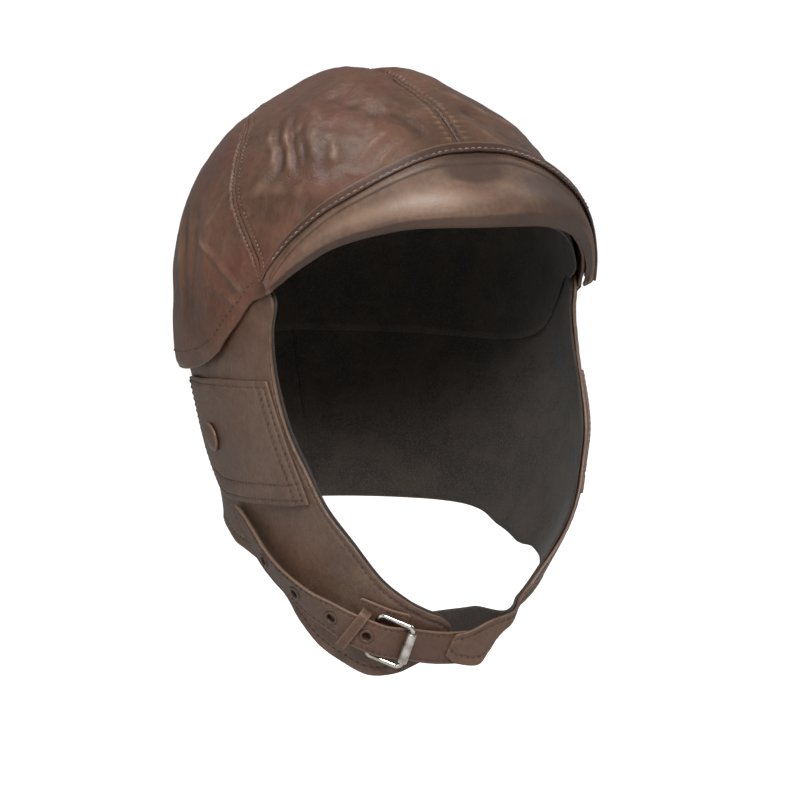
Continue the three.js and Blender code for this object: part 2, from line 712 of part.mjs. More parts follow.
// Stops the last row half a gap short of the middle of the back
function toBackSeam(side, grid) {
  const last = grid.length - 1;
  const stopped = grid[last].map((spot) => ({ ...spot, point: spot.point.clone().setX((side * gap) / 2) }));
  return [...grid.slice(0, last), stopped];
}
function flapGrid(side, flare, rows, hang) {
  const followHem = (t, top) => (t > rows.length ? underHem(top.turn) : top.drop);
  const grid = patch(side, flare, flapTable(rows), flapSteps, flapAcross, hang, followHem);
  return toBackSeam(side, grid);
}
const liningOuter = flapInner - 1.5 * gap;
const tuckedShare = 1 / 12; // of the flap's length, where its lining comes out from under the chin
for (const { name, side, rows, inside, flare } of sides) {
  const grid = flapGrid(side, flare, rows, leatherHang);
  add(`flap_${name}`, sheet(grid, flapOuter, flapInner), flapLeather());
  const temple = (rows.length - 1) / (rows.length + neckline.length - 1);
  const lined = flapGrid(side, flare, inside, liningHang).map((row, i) => {
    const t = i / flapSteps;
    return moved(row, t < temple ? liningShow * smooth(t / tuckedShare) : 0, -gap);
  });
  add(`lining_${name}`, sheet(lined, liningOuter, liningOuter - lining), liningCloth());
}

// Ear panels and their snaps
const earSteps = 14;
const earAcross = 5;
const earInner = flapOuter + gap;
const snapBow = (snapRadius * snapRadius) / (2 * halfWidth); // the panel curves under the snap
const snapSides = 12;
// Shares of the snap's radius and height
const snapProfile = [
  { radius: 0, height: 0 },
  { radius: 1, height: 0 },
  { radius: 1, height: 0.35 },
  { radius: 0.93, height: 0.55 },
  { radius: 0.55, height: 0.9 },
  { radius: 0, height: 1 },
];
const snapProbe = 3; // degrees and millimetres between the points that give its slope
function hungPoint(side, flare, turn, drop) {
  const point = formPoint(side, turn, drop);
  return point.clone().addScaledVector(formNormal(point), hangOf(flare, turn, drop));
}
const panelHang = (side, flare, turn, drop) => hangOf(flare, turn, drop);
for (const { name, side, flare } of sides) {
  const grid = patch(side, flare, earPanel, earSteps, earAcross, panelHang);
  add(`ear_panel_${name}`, sheet(grid, earInner + earPanelWall, earInner), flapLeather());
  const profile = snapProfile.map(
    ({ radius, height }) => new THREE.Vector2(radius * snapRadius, height * snapHeight),
  );
  const drop = snapPlace.drop * crownDrop;
  const spot = hungPoint(side, flare, snapPlace.turn, drop);
  const ahead = hungPoint(side, flare, snapPlace.turn + snapProbe, drop).sub(spot);
  const below = hungPoint(side, flare, snapPlace.turn, drop + snapProbe).sub(spot);
  const out = ahead.cross(below).normalize();
  if (out.dot(spot) < 0) out.negate();
  const snap = add(`snap_${name}`, new THREE.LatheGeometry(profile, snapSides), strapLeather());
  snap.position.copy(spot).addScaledVector(out, earInner + earPanelWall + gap + snapBow);
  snap.quaternion.setFromUnitVectors(new THREE.Vector3(0, 1, 0), out);
}

// Lining of the crown: rings round the top, down to the brow and the flaps' upper edges
const liningTurns = 32;
const liningRings = 6;
const liningLap = 5; // how far the crown's lining hangs over the top of the flaps' lining
function liningEdge(turn) {
  const temple = sideSeam[0].turn;
  return turn <= temple ? dropAt(brow, turn) : underHem(turn) + liningLap;
}
const deepLining = liningOuter - lining - 3 * gap;
const deepTurn = { from: 57, over: 8 }; // past the temples the lining lies deeper, under the flaps' own
const deepShare = { from: 2 / 3, over: 1 / 3 }; // of the way down from the top
const ringBunching = 1.7; // rings lie closer together near the top
const crownLiningOuter = -leather - liningRoom;
function crownLining() {
  const points = [];
  const faces = [];
  for (const wall of [0, lining]) {
    points.push(new THREE.Vector3(0, 0, apex + crownLiningOuter - wall));
    for (let ring = 1; ring <= liningRings; ring += 1) {
      for (let k = 0; k < liningTurns; k += 1) {
        const round = (k / liningTurns) * 2 * backTurn;
        const side = round <= backTurn ? 1 : -1;
        const turn = round <= backTurn ? round : 2 * backTurn - round;
        const share = ring / liningRings;
        const point = formPoint(side, turn, liningEdge(turn) * share ** ringBunching);
        const deep = after(deepTurn, turn) * after(deepShare, share);
        const offset = crownLiningOuter + (deepLining - crownLiningOuter) * deep - wall;
        points.push(point.clone().addScaledVector(formNormal(point), offset));
      }
    }
  }
  const layer = 1 + liningRings * liningTurns;
  const at = (side, ring, k) => side * layer + 1 + (ring - 1) * liningTurns + (k % liningTurns);
  for (let k = 0; k < liningTurns; k += 1) {
    faces.push(0, at(0, 1, k), at(0, 1, k + 1));
    faces.push(layer, at(1, 1, k + 1), at(1, 1, k));
    for (let ring = 1; ring < liningRings; ring += 1) {
      const [a, b] = [at(0, ring, k), at(0, ring, k + 1)];
      const [c, d] = [at(0, ring + 1, k), at(0, ring + 1, k + 1)];
      faces.push(a, c, d, a, d, b);
      const [e, f] = [at(1, ring, k), at(1, ring, k + 1)];
      const [g, h] = [at(1, ring + 1, k), at(1, ring + 1, k + 1)];
      faces.push(e, h, g, e, f, h);
    }
    const [a, b] = [at(0, liningRings, k), at(0, liningRings, k + 1)];
    const [c, d] = [at(1, liningRings, k), at(1, liningRings, k + 1)];
    faces.push(a, c, d, a, d, b);
  }
  return closedGeometry(points, faces);
}
add("lining_crown", crownLining(), liningCloth());

// Peak: rows run from the left temple to the right, each from the foot up to the edge
const peakSteps = 30;
const peakAcross = 6;
const lowBulge = 0.55; // a power under 1 puts the fullest part below the middle
const bindingRoom = 2 * gap + bindingWall; // between the crown and the peak beside the binding
function peakPoint(t, w) {
  const row = Math.abs(t) * (peakRows.length - 1);
  const side = t < 0 ? -1 : 1;
  const turn = along(peakRows, "turn", row);
  const foot = dropAt(brow, Math.min(turn, sideSeam[0].turn)) + peakFoot;
  const rise = along(peakRows, "height", row) * peakHeight * w;
  const stand = bindingRoom + along(peakRows, "stand", row) * peakStand;
  const bulge = along(peakRows, "bulge", row) * peakBulge * Math.sin(Math.PI * w ** lowBulge);
  const out = new THREE.Vector3(side * Math.sin(turn * rad), -Math.cos(turn * rad), 0);
  return formPoint(side, turn, foot - rise).addScaledVector(out, gap + stand * smooth(w) + bulge);
}
const peakProbe = 0.01;
function peakSpot(t, w) {
  const point = peakPoint(t, w);
  const sideways = peakPoint(t + peakProbe, w).sub(peakPoint(t - peakProbe, w));
  const low = Math.max(w - peakProbe, 0);
  const upwards = peakPoint(t, Math.min(w + peakProbe, 1)).sub(peakPoint(t, low));
  const normal = sideways.cross(upwards).normalize();
  return { point, normal, relief: 0 };
}
function peakRow(t) {
  return Array.from({ length: peakAcross + 1 }, (_, j) => peakSpot(t, j / peakAcross));
}
const peakGrid = Array.from({ length: peakSteps + 1 }, (_, i) => peakRow((2 * i) / peakSteps - 1));
add("peak", sheet(peakGrid, peakWall, 0), crownLeather());

// A bar of one outline carried through frames, with flat ends or closed on itself
function loft(frames, outline, closed) {
  const points = [];
  for (const { origin, along: a, up, scale = 1, tall = 1 } of frames) {
    for (const [x, y] of outline) {
      const rise = y < 0 ? y * tall : y;
      points.push(origin.clone().addScaledVector(a, x * scale).addScaledVector(up, rise));
    }
  }
  const size = outline.length;
  const faces = [];
  const spans = closed ? frames.length : frames.length - 1;
  for (let i = 0; i < spans; i += 1) {
    const next = (i + 1) % frames.length;
    for (let j = 0; j < size; j += 1) {
      const k = (j + 1) % size;
      const [a, b] = [i * size + j, i * size + k];
      const [c, d] = [next * size + j, next * size + k];
      faces.push(a, b, d, a, d, c);
    }
  }
  if (!closed) {
    const flat = outline.map(([x, y]) => new THREE.Vector2(x, y));
    const end = (frames.length - 1) * size;
    const turned = THREE.ShapeUtils.isClockWise(flat);
    for (const [a, b, c] of THREE.ShapeUtils.triangulateShape(flat, [])) {
      if (turned) {
        faces.push(a, b, c);
        faces.push(end + a, end + c, end + b);
      } else {
        faces.push(a, c, b);
        faces.push(end + a, end + b, end + c);
      }
    }
  }
  return closedGeometry(points, faces);
}

// Binding: a strip folded over the peak's upper edge
const peakMiddle = peakWall / 2;
function bindingFrame(t) {
  const { point, normal } = peakSpot(t, 1);
  const origin = point.clone().addScaledVector(normal, peakMiddle);
  const height = along(peakRows, "height", Math.abs(t) * (peakRows.length - 1)) * peakHeight;
  const tall = Math.min(1, height / (4.5 * bindingDepth)); // shorter legs at the low ends
  const lower = peakSpot(t, 1 - (bindingDepth * tall) / height);
  const up = origin.clone().sub(lower.point.clone().addScaledVector(lower.normal, peakMiddle));
  up.normalize();
  const out = normal.clone();
  out.addScaledVector(up, -out.dot(up)).normalize();
  return { origin, along: out, up, tall };
}
const legInner = peakMiddle + gap;
const legOuter = legInner + bindingWall;
const bindingOutline = [
  [legOuter, -bindingDepth],
  [legOuter, gap],
  [legOuter * 0.5, gap + bindingWall],
  [-legOuter * 0.5, gap + bindingWall],
  [-legOuter, gap],
  [-legOuter, -bindingDepth],
  [-legInner, -bindingDepth],
  [-legInner, gap],
  [legInner, gap],
  [legInner, -bindingDepth],
];
const bindingFrames = Array.from({ length: peakSteps - 1 }, (_, i) =>
  bindingFrame((2 * (i + 1)) / peakSteps - 1),
);
add("peak_binding", loft(bindingFrames, bindingOutline, false), strapLeather());

// Chin strap: frames at row numbers of its table
function strapFrame(t) {
  const signed = along(strapRows, "turn", t);
  const side = signed < 0 ? -1 : 1;
  const turn = Math.abs(signed);
  const drop = along(strapRows, "drop", t) * crownDrop;
  const point = formPoint(side, turn, drop);
  const flare = side < 0 ? flareRight : flareLeft;
  return { point, normal: formNormal(point), relief: flapOuter + hangOf(flare, turn, drop) };
}
const frameStep = 0.05;
function strapAxes(t) {
  const last = strapRows.length - 1;
  const here = strapFrame(t);
  const ahead = strapFrame(Math.min(t + frameStep, last)).point;
  const behind = strapFrame(Math.max(t - frameStep, 0)).point;
  const way = ahead.sub(behind).normalize();
  const across = new THREE.Vector3().crossVectors(here.normal, way).normalize();
  if (across.z < 0) across.negate();
  return { ...here, way, across };
}
function strapPlace(t) {
  const { point, normal, relief, way, across } = strapAxes(t);
  const lean = along(strapRows, "lean", t) * rad;
  const width = along(strapRows, "width", t);
  const half = (strapWidth / 2) * width;
  const lift = along(strapRows, "lift", t) * strapWall + strapWall / 2 + half * Math.sin(lean);
  const origin = point.clone().addScaledVector(normal, relief + lift);
  const up = normal.clone().multiplyScalar(Math.cos(lean)).addScaledVector(across, -Math.sin(lean));
  const wide = across.clone().multiplyScalar(Math.cos(lean)).addScaledVector(normal, Math.sin(lean));
  return { origin, along: wide, up, scale: width, way };
}
const strapSteps = 54;
const strapOutline = [
  [-strapWidth / 2, -strapWall / 2],
  [strapWidth / 2, -strapWall / 2],
  [strapWidth / 2, strapWall / 2],
  [-strapWidth / 2, strapWall / 2],
];
const strapFrames = Array.from({ length: strapSteps + 1 }, (_, i) =>
  strapPlace((i / strapSteps) * (strapRows.length - 1)),
);
let strapSolid = solid(loft(strapFrames, strapOutline, false));
const holeSides = 12;
const eyeletSides = 10;
const barrelRadius = holeRadius - gap;
const flangeLow = strapWall / 2 + gap;
const flangeTop = flangeLow + eyeletRise;
const eyeletProfile = [
  [eyeletBore, -strapWall / 2],
  [barrelRadius, -strapWall / 2],
  [barrelRadius, flangeLow],
  [eyeletRadius, flangeLow],
  [eyeletRadius, flangeTop - eyeletRise * 0.4],
  [(eyeletRadius + eyeletBore) / 2, flangeTop],
  [eyeletBore, flangeTop],
  [eyeletBore, -strapWall / 2],
].map(([radius, height]) => new THREE.Vector2(radius, height));
holeTurns.forEach((turn, i) => {
  const place = strapPlace(rowAt(strapRows, "turn", turn));
  const basis = new THREE.Matrix4().makeBasis(place.way, place.up, place.way.clone().cross(place.up));
  basis.setPosition(place.origin);
  const drill = new THREE.CylinderGeometry(holeRadius, holeRadius, 4 * strapWall, holeSides);
  strapSolid = strapSolid.subtract(solid(drill.applyMatrix4(basis)));
  const eyelet = new THREE.LatheGeometry(eyeletProfile, eyeletSides);
  add(`eyelet_${i + 1}`, eyelet.applyMatrix4(basis), strapLeather());
});
add("chin_strap", geometryOf(strapSolid), strapLeather());

// Tab behind the buckle, a ribbon on the right flap
const tabSteps = 10;
const tabClear = 2 * gap; // the flap bows under the flat tab
const tabFrames = Array.from({ length: tabSteps + 1 }, (_, i) => {
  const turn = tabTurns[0] + ((tabTurns[1] - tabTurns[0]) * i) / tabSteps;
  const { point, normal, relief, across } = strapAxes(rowAt(strapRows, "turn", turn));
  const origin = point.clone().addScaledVector(normal, relief + tabClear + tabWall / 2);
  return { origin: origin.addScaledVector(across, tabRaise), along: across, up: normal };
});
const tabOutline = [
  [-tabWidth / 2, -tabWall / 2],
  [tabWidth / 2, -tabWall / 2],
  [tabWidth / 2, tabWall / 2],
  [-tabWidth / 2, tabWall / 2],
];
add("buckle_tab", loft(tabFrames, tabOutline, false), strapLeather());

// Stations round a rectangle with round corners in the plane of two axes
function roundLoop(origin, first, second, halfFirst, halfSecond, corner, outline, turns = 2) {
  const frames = [];
  const signs = [
    [1, 1],
    [-1, 1],
    [-1, -1],
    [1, -1],
  ];
  signs.forEach(([a, b], k) => {
    for (let i = 0; i <= turns; i += 1) {
      const angle = ((k + i / turns) * Math.PI) / 2;
      const out = first.clone().multiplyScalar(Math.cos(angle)).addScaledVector(second, Math.sin(angle));
      const centre = origin
        .clone()
        .addScaledVector(first, a * (halfFirst - corner))
        .addScaledVector(second, b * (halfSecond - corner));
      frames.push({
        origin: centre.addScaledVector(out, corner),
        along: out,
        up: new THREE.Vector3().crossVectors(first, second),
      });
    }
  });
  return loft(frames, outline, true);
}
const wireSides = 8;
const wireOutline = Array.from({ length: wireSides }, (_, i) => {
  const angle = (i / wireSides) * 2 * Math.PI;
  return [wireRadius * Math.cos(angle), wireRadius * Math.sin(angle)];
});
const rollerRow = rowAt(strapRows, "turn", rollerTurn);
const rollerPlace = strapPlace(rollerRow);
const rollerAxis = rollerPlace.origin
  .clone()
  .addScaledVector(rollerPlace.up, strapWall / 2 + strapSlack + rollerRadius);
let heelRow = rollerRow;
while (strapPlace(heelRow).origin.distanceTo(rollerPlace.origin) < buckleLength) heelRow -= frameStep;
const heelPlace = strapPlace(heelRow);
const heelAxis = heelPlace.origin
  .clone()
  .addScaledVector(heelPlace.up, -(strapWall / 2 + strapSlack + wireRadius));
const buckleWay = rollerAxis.clone().sub(heelAxis).normalize();
const buckleAcross = rollerPlace.along.clone();
buckleAcross.addScaledVector(buckleWay, -buckleAcross.dot(buckleWay)).normalize();
const buckleMiddle = rollerAxis.clone().add(heelAxis).multiplyScalar(0.5);
const buckleHalfWidth = strapWidth / 2 + strapPlay + wireRadius;
const buckleHalfLength = rollerAxis.distanceTo(heelAxis) / 2;
add(
  "buckle_frame",
  roundLoop(
    buckleMiddle,
    buckleWay,
    buckleAcross,
    buckleHalfLength,
    buckleHalfWidth,
    buckleCorner,
    wireOutline,
  ),
  polishedSteel(),
);
const rollerHalf = buckleHalfWidth - buckleCorner;
const rollerProfile = [
  [wireRadius + gap, -rollerHalf],
  [rollerRadius, -rollerHalf],
  [rollerRadius, rollerHalf],
  [wireRadius + gap, rollerHalf],
  [wireRadius + gap, -rollerHalf],
].map(([radius, height]) => new THREE.Vector2(radius, height));
const rollerSides = 16;
const roller = add("buckle_roller", new THREE.LatheGeometry(rollerProfile, rollerSides), polishedSteel());
roller.position.copy(rollerAxis);
roller.quaternion.setFromUnitVectors(new THREE.Vector3(0, 1, 0), buckleAcross);

// Keeper: a leather loop round the strap
const keeperPlace = strapPlace(rowAt(strapRows, "turn", keeperTurn));
const keeperOutline = [
  [-keeperWall / 2, -keeperWidth / 2],
  [keeperWall / 2, -keeperWidth / 2],
  [keeperWall / 2, keeperWidth / 2],
  [-keeperWall / 2, keeperWidth / 2],
];
const keeperReach = keeperSlack + keeperWall / 2;
const skew = keeperSkew * rad;
const keeperAcross = keeperPlace.along.clone().multiplyScalar(Math.cos(skew));
keeperAcross.addScaledVector(keeperPlace.way, Math.sin(skew));
const keeperHalf = strapWidth / 2 / Math.cos(skew) + (keeperWidth / 2) * Math.tan(skew);
add(
  "strap_keeper",
  roundLoop(
    keeperPlace.origin,
    keeperAcross,
    keeperPlace.up,
    keeperHalf + keeperReach,
    strapWall / 2 + keeperReach,
    keeperReach,
    keeperOutline,
  ),
  strapLeather(),
);

export default helmet;
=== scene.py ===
import math

import bmesh
import bpy
import numpy as np
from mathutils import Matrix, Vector


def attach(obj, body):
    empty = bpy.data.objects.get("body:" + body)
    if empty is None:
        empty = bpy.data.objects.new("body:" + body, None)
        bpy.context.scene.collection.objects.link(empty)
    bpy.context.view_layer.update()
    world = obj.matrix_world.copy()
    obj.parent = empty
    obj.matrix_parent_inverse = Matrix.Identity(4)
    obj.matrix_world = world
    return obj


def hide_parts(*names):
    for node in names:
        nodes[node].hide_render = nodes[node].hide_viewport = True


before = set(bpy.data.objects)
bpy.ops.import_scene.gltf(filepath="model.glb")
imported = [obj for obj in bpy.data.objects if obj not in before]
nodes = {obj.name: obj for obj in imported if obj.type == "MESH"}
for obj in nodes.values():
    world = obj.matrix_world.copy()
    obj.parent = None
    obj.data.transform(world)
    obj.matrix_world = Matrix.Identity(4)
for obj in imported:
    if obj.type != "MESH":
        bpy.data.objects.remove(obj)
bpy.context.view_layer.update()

print("frame loaded:", len(nodes), "nodes")

# Lengths in this script are in millimetres and become metres in the meshes
toMetres = 0.001


def placed(name, data):
    made = bpy.data.objects.new(name, data)
    bpy.context.scene.collection.objects.link(made)
    return made


# Camera at the photo's angle
cameraSettings = {
    "azimuth": -27.0,
    "elevation": 4.0,
    "distance": 1500.0,
    "target": (0.0, -8.0, -110.0),
    "aimRight": 8.7,  # the helmet stands a little left of the middle
    "aimUp": -31.45,
    "lens": 155.2,
}


def makeCamera(s):
    azimuth, elevation = math.radians(s["azimuth"]), math.radians(s["elevation"])
    back = Vector((
        math.sin(azimuth) * math.cos(elevation),
        -math.cos(azimuth) * math.cos(elevation),
        math.sin(elevation),
    ))
    right = Vector((math.cos(azimuth), math.sin(azimuth), 0))
    up = back.cross(right)
    target = Vector(s["target"])
    eye = target + back * s["distance"]
    aim = target + right * s["aimRight"] + up * s["aimUp"]
    data = bpy.data.cameras.new("camera")
    data.lens = s["lens"]
    data.sensor_width = 36
    data.clip_start, data.clip_end = 0.05, 60
    camera = placed("camera", data)
    camera.location = eye * toMetres
    camera.rotation_euler = (eye - aim).to_track_quat("Z", "Y").to_euler()
    bpy.context.scene.camera = camera


makeCamera(cameraSettings)

# The worn form: the same named sizes and tables as the part
form = {
    "halfWidth": 85.0,
    "frontReach": 113.0,
    "backReach": 93.0,
    "crownDrop": 120.0,
    "leather": 1.5,
    "lining": 1.0,
    "gap": 0.3,
    "seamDip": 1.3,
    "hemUnderlap": 11.0,
    "hemPuff": 2.4,
    "puffReach": 22.0,
}
leather, gap, lining = form["leather"], form["gap"], form["lining"]
crownDrop = form["crownDrop"]
liningRoom = form["seamDip"] + 2 * gap
apex = leather + liningRoom + lining
flapOuter = -leather - gap
flapInner = flapOuter - leather
liningOuter = flapInner - 1.5 * gap
deepLining = liningOuter - lining - 3 * gap


def table(names, *rows):
    values = np.array(rows, float)
    return {name: values[:, k] for k, name in enumerate(names.split())}


def eachRow(rows):
    for values in zip(*rows.values()):
        yield dict(zip(rows, values))


sections = table(
    "drop width front back square",
    (0, 0, 0, 0, 2),
    (0.02, 0.142, 0.156, 0.24, 2),
    (0.09, 0.362, 0.362, 0.495, 2),
    (0.2, 0.625, 0.615, 0.7, 2),
    (0.345, 0.82, 0.81, 0.83, 2),
    (0.49, 0.925, 0.915, 0.91, 2),
    (0.71, 1, 1, 0.99, 2),
    (0.85, 0.995, 1, 0.98, 2),
    (1, 0.98, 0.985, 0.935, 2),
    (1.29, 0.9, 0.96, 0.81, 2),
    (1.58, 0.805, 0.93, 0.67, 2.1),
    (1.82, 0.765, 0.8, 0.64, 2.4),
    (2.04, 0.72, 0.7, 0.62, 2.5),
    (2.2, 0.68, 0.67, 0.6, 2.5),
)
sideSeam = table(
    "turn drop",
    (62.4, 0.775), (64.2, 0.712), (66.5, 0.655), (70, 0.588), (75.7, 0.49), (80.5, 0.39), (84.8, 0.316),
    (88.5, 0.262), (96, 0.218), (112, 0.185), (132, 0.155), (154, 0.125), (174, 0.108),
)
hem = table(
    "turn drop",
    (62.9, 0.803), (67.7, 0.83), (71.3, 0.89), (75.9, 0.958), (80.2, 1.018),
    (90, 1.07), (110, 1.09), (145, 1.08), (180, 1.07),
)
brow = table(
    "turn drop",
    (0, 0.54),
    (12, 0.54),
    (23, 0.545),
    (34, 0.57),
    (44, 0.612),
    (52, 0.678),
    (58, 0.738),
    (62.4, 0.775),
)
peakRows = table(
    "turn height stand bulge",
    (0, 1, 1, 1),
    (12, 0.957, 1, 1),
    (24, 0.82, 0.95, 1),
    (36, 0.66, 0.7, 0.9),
    (46, 0.535, 0.5, 0.75),
    (54, 0.445, 0.3, 0.4),
    (59, 0.31, 0.15, 0.15),
    (61.5, 0.16, 0.1, 0.05),
)
flapRight = [
    (1.6, 1.965, 1.4, 2.03),
    (4.7, 1.935, 6, 2.07),
    (10.6, 1.91, 12, 2.1),
    (19.2, 1.868, 21, 2.13),
    (31, 1.79, 33.4, 2.135),
    (42.2, 1.675, 46, 2.085),
    (51.8, 1.547, 56, 2.028),
    (56.6, 1.4, 64.6, 1.952),
    (60.5, 1.25, 69, 1.89),
    (62.5, 1.08, 73, 1.84),
    (62.7, 0.92, 77, 1.79),
    (62, 0.81, 81, 1.762),
]
flapLeft = [
    (-1.2, 1.975, -3.2, 2.06),
    (2, 1.962, 0.5, 2.095),
    (7.5, 1.932, 6, 2.1),
    (15, 1.915, 9, 2.052),
    (27, 1.885, 14, 1.978),
    (39, 1.77, 36.5, 1.886),
    (50.6, 1.6, 54.5, 1.82),
    (56.2, 1.4, 63, 1.79),
    (60.5, 1.25, 69, 1.775),
    (62.5, 1.08, 73, 1.765),
    (62.7, 0.92, 77, 1.762),
    (62, 0.81, 81, 1.762),
]
liningLeft = [
    (-14, 1.94, -14, 2.03),
    (3, 1.932, 2, 2.05),
    (10, 1.925, 7, 2.05),
    (18, 1.905, 10.5, 2.03),
    (28.5, 1.885, 15, 1.97),
    (39.5, 1.785, 37, 1.88),
    (50.6, 1.605, 54.5, 1.82),
    *flapLeft[7:],
]
neckline = [
    (67.5, 0, 86, 1.738), (76, 0, 92, 1.71), (90, 0, 100, 1.676), (106, 0, 112, 1.655),
    (124, 0, 127, 1.645), (142, 0, 144, 1.64), (161, 0, 162, 1.635), (180, 0, 180, 1.63),
]
earPanelRows = table(
    "upper upperDrop lower lowerDrop",
    (64.2, 1.1, 56.8, 1.522),
    (68.6, 1.105, 63, 1.535),
    (77.5, 1.11, 72, 1.541),
    (86, 1.115, 82, 1.55),
    (93, 1.12, 91, 1.546),
    (99, 1.12, 98.5, 1.52),
    (104, 1.125, 104, 1.465),
    (108, 1.13, 107.5, 1.375),
)
strapRows = table(
    "turn drop lift lean width",
    (-86.5, 1.572, 0.35, 0, 0.15),
    (-84, 1.603, 0.35, 6, 0.48),
    (-79.2, 1.661, 0.35, 14, 0.74),
    (-74, 1.728, 0.35, 19, 0.86),
    (-68.2, 1.782, 0.35, 22, 0.92),
    (-61.6, 1.829, 0.4, 22, 0.96),
    (-54.4, 1.87, 0.8, 18, 1),
    (-47.2, 1.9, 1.4, 11, 1),
    (-40, 1.932, 2, 5, 1),
    (-33.4, 1.957, 2.4, 1, 1),
    (-27, 1.98, 2.4, 0, 1),
    (-20.5, 1.997, 1.6, 0, 1),
    (-14, 2.012, 0.9, 0, 1),
    (-7, 2.026, 0.7, 0, 1),
    (-1, 2.032, 0.7, 0, 1),
    (4, 2.03, 0.7, 0, 1),
    (8, 2.022, 0.7, 0, 1),
)


# Smooth curve between two values with the slope at each
def between(s, low, lowSlope, high, highSlope):
    s2, s3 = s * s, s * s * s
    return (
        (2 * s3 - 3 * s2 + 1) * low
        + (s3 - 2 * s2 + s) * lowSlope
        + (3 * s2 - 2 * s3) * high
        + (s3 - s2) * highSlope
    )


# Value of a table's column at the row t, which may lie between two rows
def along(values, t):
    last = len(values) - 1
    t = np.asarray(t, float)
    i = np.clip(np.floor(t).astype(int), 0, last - 1)
    at = lambda k: values[np.clip(k, 0, last)]
    slope0 = (at(i + 1) - at(i - 1)) / np.where(i > 0, 2, 1)
    slope1 = (at(i + 2) - at(i)) / np.where(i + 1 < last, 2, 1)
    return between(t - i, at(i), slope0, at(i + 1), slope1)


depths = np.sqrt(sections["drop"])


# Half width, front and back reach and squareness of the level section at a drop
def sectionAt(drop):
    last = len(depths) - 1
    depth = np.minimum(np.sqrt(np.maximum(drop, 0) / crownDrop), depths[last])
    i = np.clip(np.searchsorted(depths, depth, side="right") - 1, 0, last - 1)
    span = depths[i + 1] - depths[i]

    def value(column):
        values = sections[column]

        def slope(k):
            low, high = np.maximum(k - 1, 0), np.minimum(k + 1, last)
            return (values[high] - values[low]) / (depths[high] - depths[low]) * span

        return between((depth - depths[i]) / span, values[i], slope(i), values[i + 1], slope(i + 1))

    return (
        value("width") * form["halfWidth"],
        value("front") * form["frontReach"],
        value("back") * form["backReach"],
        value("square"),
    )


# Point on the form: turn in degrees from the face towards a side, drop below the top
def formPoint(side, turn, drop):
    turn, drop = np.broadcast_arrays(np.asarray(turn, float), np.asarray(drop, float))
    width, front, back, square = sectionAt(drop)
    angle = np.radians(turn)
    sine = np.sign(turn) * np.abs(np.sin(angle)) ** (2 / square)
    cosine = np.cos(angle)
    reach = np.where(cosine > 0, -front, back)
    return np.stack([side * width * sine, reach * np.abs(cosine) ** (2 / square), apex - drop], -1)


# Below 1 inside the form, above 1 outside
def level(points):
    drop = apex - points[..., 2]
    width, front, back, square = sectionAt(np.maximum(drop, 1e-6))
    reach = np.where(points[..., 1] < 0, front, back)
    reached = np.abs(points[..., 0] / width) ** square + np.abs(points[..., 1] / reach) ** square
    inside = reached ** (1 / square)
    return np.where(drop <= 0, 2 - drop, inside)


def formNormal(points, step=0.2):
    slope = np.zeros_like(points)
    for axis in range(3):
        shift = np.zeros(3)
        shift[axis] = step
        slope[..., axis] = level(points + shift) - level(points - shift)
    slope[apex - points[..., 2] < 2 * step] = (0, 0, 1)
    return unit(slope)


middle = np.array([0, 0, apex - 0.71 * crownDrop])
halvings = 34


# Where a ray from the middle meets the form
def onForm(direction):
    inner = np.zeros(direction.shape[:-1])
    outer = np.full(direction.shape[:-1], 2 * (form["frontReach"] + crownDrop))
    for _ in range(halvings):
        half = (inner + outer) / 2
        within = level(middle + direction * half[..., None]) < 1
        inner, outer = np.where(within, half, inner), np.where(within, outer, half)
    return middle + direction * inner[..., None]


def globeAngles(points):
    to = unit(points - middle)
    return np.arcsin(np.abs(to[..., 0])), np.arctan2(to[..., 2], -to[..., 1])


# Point on the form at a table's row t, or above it
def rowPoint(side, rows, t, above=0):
    return formPoint(side, along(rows["turn"], t), along(rows["drop"], t) * crownDrop - above)


def globeLine(side, rows, share):
    return globeAngles(rowPoint(side, rows, share * (len(rows["turn"]) - 1)))


def globePoint(side, over, across):
    flat = np.cos(across)
    return onForm(np.stack([side * np.sin(across), -flat * np.cos(over), flat * np.sin(over)], -1))


def unit(vectors):
    return vectors / np.maximum(np.linalg.norm(vectors, axis=-1, keepdims=True), 1e-9)


def smooth(t):
    s = np.clip(t, 0, 1)
    return s * s * (3 - 2 * s)


# Round rise up to 1 where the value is at the middle
def bump(value, at, reach):
    return np.exp(-(((value - at) / reach) ** 2))


def valueAt(rows, column, turn):
    t = np.linspace(0, len(rows["turn"]) - 1, 600)
    return np.interp(turn, along(rows["turn"], t), along(rows[column], t))


def turnOf(points):
    width, front, back, _ = sectionAt(apex - points[..., 2])
    reach = np.where(points[..., 1] < 0, front, back)
    return np.degrees(np.arctan2(np.abs(points[..., 0]) / width, -points[..., 1] / reach))


# Soft random values on a lattice, the same in each run
primes = (73856093, 19349663, 83492791, 2654435761)
mixers = ((13, 1274126177), (15, 2246822519))
wordMask = 0xFFFFFFFF


def noise(points, size, seed=0):
    q = np.asarray(points) / size
    cell = np.floor(q).astype(np.int64)
    f = q - cell
    f = f * f * (3 - 2 * f)
    total = np.zeros(q.shape[:-1])
    for corner in range(8):
        offset = np.array([corner & 1, corner >> 1 & 1, corner >> 2 & 1])
        k = cell + offset
        mixed = k[..., 0] * primes[0] ^ k[..., 1] * primes[1] ^ k[..., 2] * primes[2]
        mixed = mixed ^ (seed + 17) * primes[3]
        for shift, mixer in mixers:
            mixed = (mixed ^ (mixed >> shift)) * mixer & wordMask
        value = (mixed >> 8 & 0xFFFF) / 32767.5 - 1
        total += value * np.prod(np.where(offset, f, 1 - f), -1)
    return total


# Sharp-bottomed creases between soft pillows
def crease(points, size, seed=0):
    return 1 - 2 * np.abs(noise(points, size, seed))


